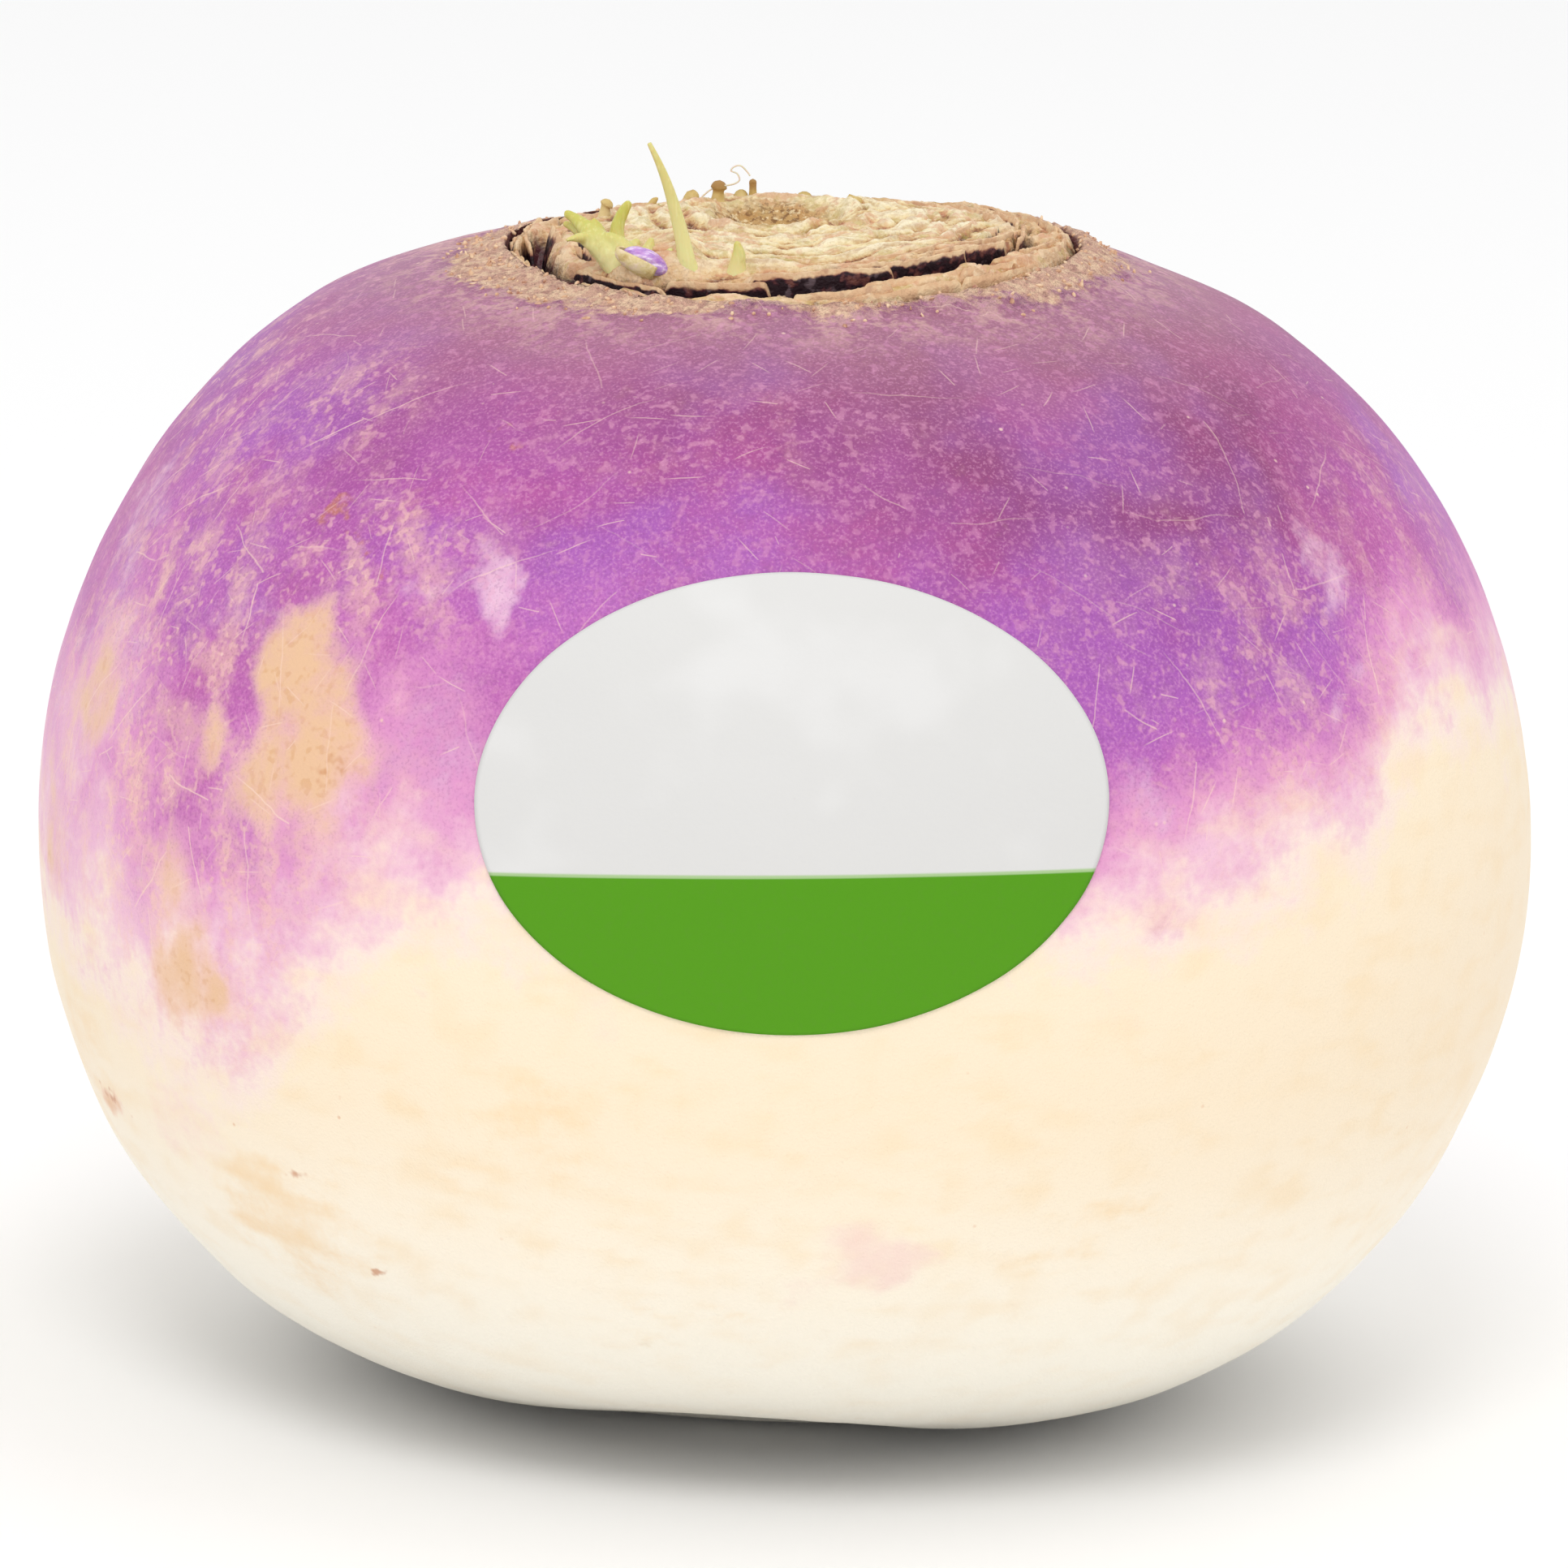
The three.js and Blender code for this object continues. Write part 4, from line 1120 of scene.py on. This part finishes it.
# %% [markdown]
# ## Cork crumbs
#
# The torn rim sheds crumbs of cork, which cling to the skin around it. Bump in the skin could
# suggest them, but real chips also roughen the rim's outline. The tree scatters points on the
# skin, most where the skin is corky, and puts a small crooked chip on each.

# %% Crumbs
CRUMBS_PER_SQUARE_METRE = 1100000.0
CRUMB_SIZE = 0.0002
CRUMBS_NEAR = 15.9
CRUMBS_FAR = 18.8
FULL_TURN = 6.3
CRUMB_COLOURS = [(0.3, paint(176, 124, 104)), (0.5, paint(222, 180, 146)), (0.7, paint(242, 214, 180))]


def crumb_material():
    material, tree, at = new_material("cork_crumb")
    colour = tree.node("ShaderNodeValToRGB", {"stops": CRUMB_COLOURS}, {"Fac": at.clouds(0.5, 1)})
    return finish_material(material, colour, 0.7, Specular_IOR_Level=0.3)


def crumb_tree():
    tree, given = new_tree("crumbs", {
        "Density": NUMBER, "Size": NUMBER, "Near": NUMBER, "Far": NUMBER, "Seed": "NodeSocketInt",
        "Material": "NodeSocketMaterial"})
    crown = tree.node("GeometryNodeInputNamedAttribute", {"data_type": "FLOAT"}, {"Name": "crown"})
    up = tree.node("GeometryNodeInputNormal", {}, {}).split()[2]
    share = crown.smooth(given["Far"], given["Near"]) * up.math("GREATER_THAN", 0.3)
    points = tree.node("GeometryNodeDistributePointsOnFaces", {"distribute_method": "RANDOM"}, {
        "Mesh": given["Geometry"], "Density": given["Density"] * share, "Seed": given["Seed"]})
    chip = tree.node("GeometryNodeMeshIcoSphere", {}, {"Radius": 1.0, "Subdivisions": 1})
    any_turn = tree.node("FunctionNodeRandomValue", {"data_type": "FLOAT_VECTOR"}, {
        "Min": (0.0, 0.0, 0.0), "Max": (FULL_TURN, FULL_TURN, FULL_TURN), "Seed": 3})
    shape = tree.node("FunctionNodeRandomValue", {"data_type": "FLOAT_VECTOR"}, {
        "Min": (0.4, 0.3, 0.25), "Max": (1.5, 1.0, 0.6), "Seed": 5})
    size = shape.vector("MULTIPLY", tree.node("ShaderNodeCombineXYZ", {}, {
        "X": given["Size"], "Y": given["Size"], "Z": given["Size"]}))
    chips = tree.node("GeometryNodeInstanceOnPoints", {}, {
        "Points": points, "Instance": chip, "Rotation": any_turn, "Scale": size})
    close_tree(tree, chips, given["Material"])
    return tree


def cork_crumbs():
    inputs = {
        "Density": CRUMBS_PER_SQUARE_METRE, "Size": CRUMB_SIZE, "Near": CRUMBS_NEAR, "Far": CRUMBS_FAR,
        "Seed": 4, "Material": crumb_material()}
    chips = run_tree(crumb_tree(), "crumbs", skin_piece.data.copy(), inputs)
    return join_meshes("cork_crumbs", [chips])


crumb_piece = cork_crumbs()
print("crumb faces:", len(crumb_piece.data.polygons))

# %% [markdown]
# ## What grows along a path
#
# A shoot, a stub and a fibre are all the same thing to a maker: a round section that travels
# along a path and changes its thickness. A curve object with a bevel could do it, but a tree can
# also add knots along the way. Each path is a few points: x, y, z and radius in millimetres. The
# tree smooths the path, sweeps a circle along it and closes its ends.

# %% Sweep along paths
KNOT_SIZE = 0.0007


def sweep_tree():
    tree, given = new_tree("grow_along_path", {
        "Steps": "NodeSocketInt", "Sides": "NodeSocketInt", "Knots": NUMBER,
        "Material": "NodeSocketMaterial"})
    path = tree.node("GeometryNodeMeshToCurve", {}, {"Mesh": given["Geometry"]})
    smooth = tree.node("GeometryNodeCurveSplineType", {"spline_type": "CATMULL_ROM"}, {"Curve": path})
    even = tree.node("GeometryNodeResampleCurve", {"mode": "COUNT"}, {
        "Curve": smooth, "Count": given["Steps"]})
    radius = tree.node("GeometryNodeInputNamedAttribute", {"data_type": "FLOAT"}, {"Name": "thickness"})
    place = tree.node("GeometryNodeInputPosition", {}, {})
    lumpy = (place.clouds(KNOT_SIZE, 2) - 0.5) * given["Knots"] + 1
    thick = tree.node("GeometryNodeSetCurveRadius", {}, {"Curve": even, "Radius": radius * lumpy})
    circle = tree.node("GeometryNodeCurvePrimitiveCircle", {"mode": "RADIUS"}, {
        "Resolution": given["Sides"], "Radius": 1.0})
    tube = tree.node("GeometryNodeCurveToMesh", {}, {
        "Curve": thick, "Profile Curve": circle, "Fill Caps": True})
    scale = tube.output.node.inputs.get("Scale")
    if scale is not None:
        current = tree.node("GeometryNodeInputRadius", {}, {})
        tree.tree.links.new(current.output, scale)
    shaded = tree.node("GeometryNodeSetShadeSmooth", {}, {"Geometry": tube, "Shade Smooth": True})
    close_tree(tree, shaded, given["Material"])
    return tree


SWEEP = sweep_tree()


def grow(name, paths, material, steps=40, sides=16, knots=0.0):
    """Sweeps a round section along each path of (x, y, z, radius) points, as one mesh."""
    points = np.vstack([np.array(path, float) for path in paths])
    mesh = bpy.data.meshes.new(name)
    edges = []
    start = 0
    for path in paths:
        edges += [(start + i, start + i + 1) for i in range(len(path) - 1)]
        start += len(path)
    mesh.from_pydata((points[:, :3] * MM).tolist(), edges, [])
    attribute = mesh.attributes.new("thickness", "FLOAT", "POINT")
    attribute.data.foreach_set("value", (points[:, 3] * MM).astype(np.float32))
    inputs = {"Steps": steps, "Sides": sides, "Knots": knots, "Material": material}
    return run_tree(SWEEP, name, mesh, inputs)


# How far ahead of a path's end each ring of its dome is, and how wide, as shares of the radius.
DOME = [(0.5, 0.85), (0.85, 0.5), (1.0, 0.03)]


def rounded(path):
    """Adds a few points past the end of a path, so that its tip closes as a small dome."""
    before, last = np.array(path[-2][:3]), np.array(path[-1][:3])
    radius = path[-1][3]
    away = (last - before) / np.linalg.norm(last - before)
    tip = [(*(last + away * radius * ahead), radius * width) for ahead, width in DOME]
    return [*path, *tip]


# %% [markdown]
# The young growth is pale yellow-green, and lighter at its foot. A plain green coat would look
# like plastic, because real shoots are a little see-through. So some light passes below the
# surface, and fine streaks run upwards.

# %% Shoot materials
SHOOT_LIGHT = paint(240, 238, 178)
SHOOT_OLIVE = paint(190, 178, 92)


def shoot_material(name, low, high, pale, tip):
    material, tree, at = new_material(name)
    z = at.split()[2]
    colour = tree.node("ShaderNodeValToRGB", {"stops": [(0, pale), (1, tip)]}, {"Fac": z.smooth(low, high)})
    streaks = at.vector("MULTIPLY", (1, 1, 0.15)).clouds(0.16, 2, 0.5)
    colour = colour.blend(streaks.smooth(0.5, 0.75) * 0.35, SHOOT_LIGHT)
    colour = colour.blend(at.clouds(0.7, 3, 0.6).smooth(0.55, 0.75) * 0.35, SHOOT_OLIVE)
    return finish_material(
        material, colour, 0.42, streaks, 0.04, Subsurface_Weight=0.25, Subsurface_Scale=0.0006,
        Specular_IOR_Level=0.45)


SHOOT = shoot_material("shoot_green", 65, 71, paint(234, 228, 158), paint(214, 206, 126))
TUFT = shoot_material("tuft_green", 64.5, 67.5, paint(232, 222, 160), paint(196, 192, 88))
DRY = shoot_material("dry_fibre", 65, 70, paint(238, 226, 208), paint(234, 222, 206))

# %% Shoots and tuft
TALL_PATH = [
    (-6.3, -11.2, 63.4, 0.8), (-6.45, -11.4, 64.6, 0.66), (-6.6, -11.5, 65.4, 0.5),
    (-6.85, -11.5, 66.5, 0.42), (-7.25, -11.55, 67.9, 0.36), (-7.75, -11.65, 69.4, 0.28),
    (-8.3, -11.75, 70.7, 0.2), (-8.85, -11.8, 71.75, 0.13)]
SHORT_PATH = [
    (-3.75, -11.3, 63.2, 0.9), (-3.8, -11.45, 64.4, 0.72), (-3.8, -11.5, 65.1, 0.5),
    (-3.75, -11.5, 65.9, 0.36), (-3.85, -11.5, 66.4, 0.2)]
TUFT_PATHS = [
    [(-9.6, -10.4, 63.4, 0.9), (-10.4, -9.9, 64.7, 0.85), (-11.2, -9.4, 65.6, 0.75),
     (-12.0, -8.9, 66.3, 0.55), (-12.8, -8.4, 66.9, 0.36), (-13.3, -8.1, 67.15, 0.26)],
    [(-11.0, -9.4, 65.0, 0.6), (-12.0, -8.6, 65.9, 0.45), (-12.8, -7.8, 66.3, 0.3),
     (-13.4, -7.5, 66.5, 0.18)],
    [(-11.8, -9.2, 65.8, 0.5), (-12.3, -9.6, 66.1, 0.35), (-12.8, -9.9, 66.1, 0.22),
     (-13.2, -10.0, 66.0, 0.14)],
    [(-11.2, -9.0, 65.6, 0.5), (-11.5, -8.8, 66.4, 0.34), (-11.7, -8.8, 66.8, 0.22),
     (-11.8, -8.8, 67.0, 0.14)],
    [(-9.9, -9.6, 64.6, 0.8), (-9.7, -9.5, 65.4, 0.6), (-9.5, -9.4, 65.8, 0.4),
     (-9.4, -9.4, 65.95, 0.25)],
    [(-10.8, -9.7, 64.8, 0.6), (-11.5, -9.6, 65.5, 0.45), (-12.1, -9.5, 65.8, 0.32),
     (-12.5, -9.4, 66.0, 0.22)],
    [(-10.6, -9.0, 64.6, 0.6), (-10.5, -8.7, 65.7, 0.5), (-10.5, -8.5, 66.7, 0.4),
     (-10.2, -8.4, 67.5, 0.32), (-10.0, -8.4, 67.85, 0.28)],
    [(-9.8, -10.0, 64.2, 0.75), (-9.9, -10.1, 65.2, 0.65), (-10.4, -9.8, 65.9, 0.5),
     (-11.0, -9.6, 66.2, 0.3)],
    [(-9.2, -10.2, 64.2, 0.8), (-8.9, -10.3, 65.1, 0.6), (-8.7, -10.2, 65.8, 0.35),
     (-8.6, -10.1, 66.2, 0.2)],
    [(-8.3, -10.6, 64.0, 0.8), (-7.8, -10.8, 64.9, 0.6), (-7.6, -10.8, 65.5, 0.35),
     (-7.5, -10.8, 65.8, 0.2)],
    [(-7.4, -11.1, 64.2, 0.55), (-7.5, -11.2, 65.0, 0.48), (-7.5, -11.2, 65.5, 0.34),
     (-7.5, -11.2, 65.7, 0.2)]]
VOXEL = 0.11
RELAX_TIMES = 4


def fuse(piece, voxel):
    """Melts overlapping lobes into one skin, and relaxes it a little."""
    remesh = piece.modifiers.new("fuse", "REMESH")
    remesh.mode = "VOXEL"
    remesh.voxel_size = voxel * MM
    relax = piece.modifiers.new("relax", "SMOOTH")
    relax.iterations = RELAX_TIMES
    material = piece.data.materials[0]
    evaluated = piece.evaluated_get(bpy.context.evaluated_depsgraph_get())
    mesh = bpy.data.meshes.new_from_object(evaluated)
    piece.modifiers.clear()
    piece.data = mesh
    mesh.materials.clear()
    mesh.materials.append(material)
    mesh.shade_smooth()
    return piece


tall_piece = join_meshes("tall_shoot_fine", [grow("tall", [rounded(TALL_PATH)], SHOOT, 90, 28)])
short_piece = join_meshes("short_shoot_fine", [grow("short", [rounded(SHORT_PATH)], TUFT, 50, 24, 0.1)])
fingers = grow("finger", [rounded(path) for path in TUFT_PATHS], TUFT, 40, 16, 0.45)
tuft_piece = fuse(join_meshes("leaf_tuft_fine", [fingers]), VOXEL)
print("tuft faces:", len(tuft_piece.data.polygons))

# %% [markdown]
# ## Stubs and fibres
#
# Withered stalks stand at the back of the crown, most with a small knob on top. A hair-thin
# fibre curls over them. They could be modelled one by one, but the same sweep makes them all, and
# a stalk needs only its place, height, thickness, lean and knob.

# %% Stub material
STUB_STOPS = [(0, paint(226, 204, 150)), (0.6, paint(206, 178, 110)), (1, paint(168, 128, 72))]
STUB_PALE_BELOW = 65.4
STUB_BROWN_ABOVE = 67.0


def stub_material():
    material, tree, at = new_material("dry_stub")
    z = at.split()[2]
    browner = (z + (at.clouds(0.6, 2, 0.5) - 0.5)).smooth(STUB_PALE_BELOW, STUB_BROWN_ABOVE)
    colour = tree.node("ShaderNodeValToRGB", {"stops": STUB_STOPS}, {"Fac": browner})
    return finish_material(material, colour, 0.6, at.clouds(0.2, 3, 0.6), 0.06, Specular_IOR_Level=0.35)


STUB = stub_material()

# %% Stubs and fibre
# Withered stubs: x, y, height of the tip, radius, sideways lean of the tip, and the knob's swelling.
STUBS = [
    (-11.5, 3.0, 66.15, 0.3, 0.1, 1.3), (-9.3, 4.6, 66.35, 0.2, 0.7, 0.5),
    (-6.9, 6.8, 66.3, 0.42, 0.2, 1.15), (-5.2, 6.5, 66.9, 0.36, 0.05, 1.3),
    (-3.9, 8.0, 66.2, 0.42, 0.0, 1.2), (-3.2, 8.3, 66.95, 0.22, -0.05, 1.0),
    (-2.2, 8.6, 66.35, 0.25, 0.15, 0.4), (-0.3, 8.6, 66.1, 0.55, 0.0, 1.0),
    (2.4, 8.0, 66.2, 0.6, 0.1, 0.9)]
STUB_ROOT = 64.6
FIBRE = [
    (-6.2, 6.6, 66.0), (-5.6, 6.4, 66.6), (-4.9, 6.3, 66.85), (-4.3, 6.3, 67.0), (-4.0, 6.3, 67.25),
    (-4.15, 6.3, 67.6), (-4.5, 6.3, 67.75), (-4.3, 6.3, 68.0), (-3.95, 6.3, 68.05), (-3.6, 6.3, 67.75),
    (-3.4, 6.3, 67.5)]
FIBRE_RADIUS = 0.05


def stub_path(x, y, top, radius, lean, knob):
    height = top - STUB_ROOT
    return rounded([
        (x, y, STUB_ROOT, radius * 1.9), (x + lean * 0.2, y, STUB_ROOT + height * 0.45, radius * 1.35),
        (x + lean * 0.5, y, STUB_ROOT + height * 0.7, radius),
        (x + lean * 0.8, y, STUB_ROOT + height * 0.86, radius * 0.92),
        (x + lean, y, top - radius * 0.6, radius * knob)])


stubs = grow("stub", [stub_path(*stub) for stub in STUBS], STUB, 30, 14, 0.25)
stub_piece = join_meshes("back_stubs", [stubs])
fibre_path = [(*point, FIBRE_RADIUS) for point in FIBRE]
fibre_piece = join_meshes("curly_fibre", [grow("fibre", [fibre_path], DRY, 90, 8)])
print("stub faces:", len(stub_piece.data.polygons))

# %% [markdown]
# ## The lilac bud and its bract
#
# A bud the shape of an almond lies in front of the tuft, and a tan bract cups it from below. Both
# could start from a ball in edit mode. Here a formula draws a ball out to a point at both ends,
# with three folded petals as soft grooves, and the bract is half of a larger one, as a sheet that
# a Solidify modifier gives its thickness.

# %% Bud
BUD_MIDDLE = (-8.8, -11.75, 65.3)
BUD_LENGTH = 2.7
BUD_THICKNESS = 1.35
BUD_SLOPE = 0.42
BUD_HEADING = -0.12
BRACT_END = 2.1
BRACT_HALF_WRAP = 1.9
BRACT_THICKNESS = 0.12
PETALS = 3
# The palest stop is partly painted highlight, over pale lilac petals.
PETAL_STOPS = [(0.35, paint(172, 122, 204)), (0.52, paint(206, 168, 226)), (0.64, paint(244, 230, 248))]
PETAL_PINK = paint(196, 130, 200)
BRACT_STOPS = [(0.34, paint(206, 178, 112)), (0.5, paint(232, 214, 158)), (0.66, paint(244, 222, 196))]


def bud_material():
    material, tree, at = new_material("lilac_petal")
    streaks = at.vector("MULTIPLY", (0.35, 1, 1)).clouds(0.25, 3, 0.6)
    colour = tree.node("ShaderNodeValToRGB", {"stops": PETAL_STOPS}, {"Fac": streaks})
    colour = colour.blend(at.clouds(1.2, 2, 0.5).smooth(0.5, 0.7) * 0.5, PETAL_PINK)
    return finish_material(
        material, colour, 0.45, streaks, 0.06, Subsurface_Weight=0.2, Subsurface_Scale=0.0005)


def bract_material():
    material, tree, at = new_material("bract")
    colour = tree.node("ShaderNodeValToRGB", {"stops": BRACT_STOPS}, {"Fac": at.clouds(0.6, 3, 0.6)})
    return finish_material(material, colour, 0.55, at.clouds(0.2, 3, 0.6), 0.06, Specular_IOR_Level=0.4)


def lie_down(points):
    """Lays an upright-made shape down the crown's slope, at the bud's place."""
    turn = Matrix.Rotation(BUD_HEADING, 3, "Z") @ Matrix.Rotation(BUD_SLOPE, 3, "Y")
    return points @ np.array(turn).T + np.array(BUD_MIDDLE)


def lilac_bud():
    around, rings = 48, 40
    along = np.linspace(0, math.pi, rings)
    angle = np.linspace(0, 2 * math.pi, around, endpoint=False)
    turn, step = np.meshgrid(angle, along)
    body = np.sin(step) ** 1.25
    petal = 2 * math.pi / PETALS
    from_groove = np.abs((turn - 0.9 * np.cos(step)) % petal - petal / 2)
    grooves = 1 - 0.16 * bump(from_groove, 0.22) * np.sin(step)
    radius = BUD_THICKNESS / 2 * body * grooves
    x = -BUD_LENGTH / 2 * np.cos(step)
    points = np.stack([x, radius * np.cos(turn), radius * np.sin(turn)], -1).reshape(-1, 3)
    return mend(make_piece("lilac_bud_fine", lie_down(points), ring_faces(rings, around), bud_material()))


def bract():
    rows, columns = 24, 36
    lengthwise = np.linspace(0, BRACT_END, rows)
    crosswise = np.linspace(-BRACT_HALF_WRAP, BRACT_HALF_WRAP, columns)
    along, across = np.meshgrid(lengthwise, crosswise, indexing="ij")
    width = (BUD_THICKNESS / 2 + BRACT_THICKNESS) * np.sin(along) ** 0.8
    edge = 1 + 0.1 * np.sin(5 * along) * np.abs(across) / BRACT_HALF_WRAP
    x = -(BUD_LENGTH / 2 + 0.35) * np.cos(along) - 0.1
    y = width * np.sin(across) * edge
    z = -width * np.cos(across) * edge - BRACT_THICKNESS
    faces = [(r * columns + c, r * columns + c + 1, (r + 1) * columns + c + 1, (r + 1) * columns + c)
             for r in range(rows - 1) for c in range(columns - 1)]
    points = np.stack([x, y, z], -1).reshape(-1, 3)
    piece = mend(make_piece("bud_bract", lie_down(points), faces, bract_material()))
    thick = piece.modifiers.new("wall", "SOLIDIFY")
    thick.thickness = BRACT_THICKNESS * MM
    return piece


bud_piece = lilac_bud()
bract_piece = bract()
print("bud and bract faces:", len(bud_piece.data.polygons), len(bract_piece.data.polygons))

# %% [markdown]
# ## The label
#
# The stick-on label is a thin oval film, bare here. It could be a flat disc that is wrapped onto
# the body, but wrapping stretches it. So its outline is laid out as distances along the skin,
# round the body and up its curve. Its place in the oval goes into a UV map, which the print
# follows: a pale field, and a green foot below a slightly arched edge.

# %% Label
LABEL_HALF_WIDTH = 17.2
LABEL_HALF_HEIGHT = 12.6
LABEL_MIDDLE_HEIGHT = 41.7
LABEL_OFF_CENTRE = 0.6
LABEL_TURN = math.radians(2.5)
LABEL_LIFT = 0.05
LABEL_THICKNESS = 0.09
SLOPE_STEP = 0.5
PRINT_EDGE = -0.335
PRINT_ARCH = 0.035
LABEL_GREEN = paint(80, 150, 2)
LABEL_GREEN_PALE = paint(84, 146, 24)
LABEL_EDGE = paint(166, 196, 140)
LABEL_WHITE = paint(216, 215, 213)
LABEL_SHEEN = paint(228, 227, 226)


def label_material():
    material, tree, at = new_material("label_film")
    place = tree.node("ShaderNodeUVMap", {"uv_map": "print"}, {}, "UV")
    u, v, _ = place.vector("MULTIPLY_ADD", (2, 2, 0), (-1, -1, 0)).split()
    over = v - (PRINT_EDGE - PRINT_ARCH * u * u)
    inputs = {"Factor": over.smooth(-0.004, 0.004), 6: LABEL_GREEN, 7: LABEL_EDGE}
    colour = tree.node("ShaderNodeMix", {"data_type": "RGBA"}, inputs, 2)
    colour = colour.blend(over.smooth(0.008, 0.02), LABEL_WHITE)
    mottled = at.clouds(0.35, 3, 0.6)
    colour = colour.blend(mottled.smooth(0.5, 0.7) * over.smooth(0.0, -0.01) * 0.35, LABEL_GREEN_PALE)
    sheen = at.clouds(7, 2, 0.5).smooth(0.45, 0.7) * over.smooth(0.01, 0.02)
    colour = colour.blend(sheen * 0.5, LABEL_SHEEN)
    return finish_material(material, colour, 0.5, at.clouds(0.5, 2, 0.5), 0.015, Specular_IOR_Level=0.25)


def side_at(along):
    """Radius and height on the side line, for a distance along it."""
    return np.array([np.interp(along, SIDE_LENGTHS, column) for column in SIDE_LINE.T])


def on_skin(across, up, lift):
    """Points on the skin for distances across and up the label, lifted off it."""
    middle_along = np.interp(LABEL_MIDDLE_HEIGHT, SIDE_LINE[:, 1], SIDE_LENGTHS)
    middle_radius = side_at(middle_along)[0]
    turned_across = across * math.cos(LABEL_TURN) - up * math.sin(LABEL_TURN) + LABEL_OFF_CENTRE
    along = middle_along + across * math.sin(LABEL_TURN) + up * math.cos(LABEL_TURN)
    radius, height = side_at(along)
    slope_radius, slope_height = side_at(along + SLOPE_STEP) - side_at(along - SLOPE_STEP)
    length = np.hypot(slope_radius, slope_height)
    angle = turned_across / middle_radius - math.pi / 2
    return on_body(radius, height, slope_height / length, -slope_radius / length, angle, lift)


def label():
    around, rings = 220, 60
    share = np.linspace(0.001, 1, rings)
    angle = np.linspace(0, 2 * math.pi, around, endpoint=False)
    out, turn = [grid.ravel() for grid in np.meshgrid(share, angle, indexing="ij")]
    u, v = out * np.cos(turn), out * np.sin(turn)
    across, up = u * LABEL_HALF_WIDTH, v * LABEL_HALF_HEIGHT
    flat = np.stack([across, up, np.zeros_like(up)], 1)
    creases = 0.02 * clouds(flat, 7, 2, 3) + 0.02 * out ** 4 * np.sin(13 * turn + 3 * clouds(flat, 9, 1, 6))
    front = on_skin(across, up, LABEL_LIFT + LABEL_THICKNESS + creases)
    back = on_skin(across, up, LABEL_LIFT + creases).reshape(rings, around, 3)[::-1]
    points = np.vstack([front, back.reshape(-1, 3)])
    piece = make_piece("label_film", points, ring_faces(2 * rings, around), label_material())
    place = np.stack([u, v], 1)
    uv = np.vstack([place, place.reshape(rings, around, 2)[::-1].reshape(-1, 2)]) / 2 + 0.5
    layer = piece.data.uv_layers.new(name="print")
    corners = np.zeros(len(piece.data.loops), np.int32)
    piece.data.loops.foreach_get("vertex_index", corners)
    layer.data.foreach_set("uv", uv[corners].astype(np.float32).ravel())
    return mend(piece)


label_piece = label()
print("label faces:", len(label_piece.data.polygons))

# %% [markdown]
# ## What rides and what is replaced
#
# A turnip has no moving parts, so every piece rides on the one body, the root. Each fine piece
# takes the place of the plain solid that the physics uses, and pieces with no solid of their own
# replace nothing.

# %% Bodies, nodes and finishes
RIDES = [
    (skin_piece, "skin", "root"), (crown_piece, "skin", "root"), (layer_piece, "skin", "root"),
    (stub_piece, "skin", "root"), (fibre_piece, "skin", None), (crumb_piece, "skin", None),
    (tall_piece, "shoot", "tall_shoot"), (short_piece, "shoot", "short_shoot"),
    (tuft_piece, "shoot", "leaf_tuft"), (bud_piece, "bud", "lilac_bud"), (bract_piece, "bud", None),
    (label_piece, "label", "label")]
for piece, finish, node in RIDES:
    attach(piece, "root")
    if node:
        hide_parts(node)
print("pieces:", [piece.name for piece, _, _ in RIDES])

# %% [markdown]
# ## Floor and light
#
# A pale seamless floor and soft light from all sides, as in a product photograph. Many lamps round
# the turnip would do it too, but a white world gives the same even light faster. Two large discs
# above the front add the faint shading.

# %% Floor and lights
FLOOR_HALF = 3.0
WORLD_STRENGTH = 0.88
LIGHT_BOUNCES = 3
LIGHTS = [
    # Name, place, size, watts.
    ("key", (-0.1, -0.7, 0.9), 0.45, 2.9), ("top", (0.3, 0.1, 1.0), 0.6, 1.0)]
FLOOR_COLOUR = (0.95, 0.95, 0.95, 1)


def add_floor():
    material = bpy.data.materials.new("pale_floor")
    material.use_nodes = True
    shader = material.node_tree.nodes["Principled BSDF"]
    shader.inputs["Base Color"].default_value = FLOOR_COLOUR
    shader.inputs["Roughness"].default_value = 0.9
    corners = [(x * FLOOR_HALF, y * FLOOR_HALF, 0) for x, y in ((-1, -1), (1, -1), (1, 1), (-1, 1))]
    mesh = bpy.data.meshes.new("floor")
    mesh.from_pydata(corners, [], [(0, 1, 2, 3)])
    mesh.materials.append(material)
    floor = bpy.data.objects.new("floor", mesh)
    bpy.context.scene.collection.objects.link(floor)


def add_lights():
    world = bpy.data.worlds.new("white_room")
    world.use_nodes = True
    world.node_tree.nodes["Background"].inputs["Color"].default_value = (1, 1, 1, 1)
    world.node_tree.nodes["Background"].inputs["Strength"].default_value = WORLD_STRENGTH
    bpy.context.scene.world = world
    for name, place, size, watts in LIGHTS:
        lamp = bpy.data.lights.new(name, "AREA")
        lamp.shape = "DISK"
        lamp.size = size
        lamp.energy = watts
        holder = bpy.data.objects.new(name, lamp)
        holder.location = place
        holder.rotation_euler = (Vector(place) - CAMERA_AIM).to_track_quat("Z", "Y").to_euler()
        bpy.context.scene.collection.objects.link(holder)


add_floor()
add_lights()
bpy.context.scene.view_settings.view_transform = "Standard"
bpy.context.scene.cycles.max_bounces = LIGHT_BOUNCES
print("lights:", len(LIGHTS))
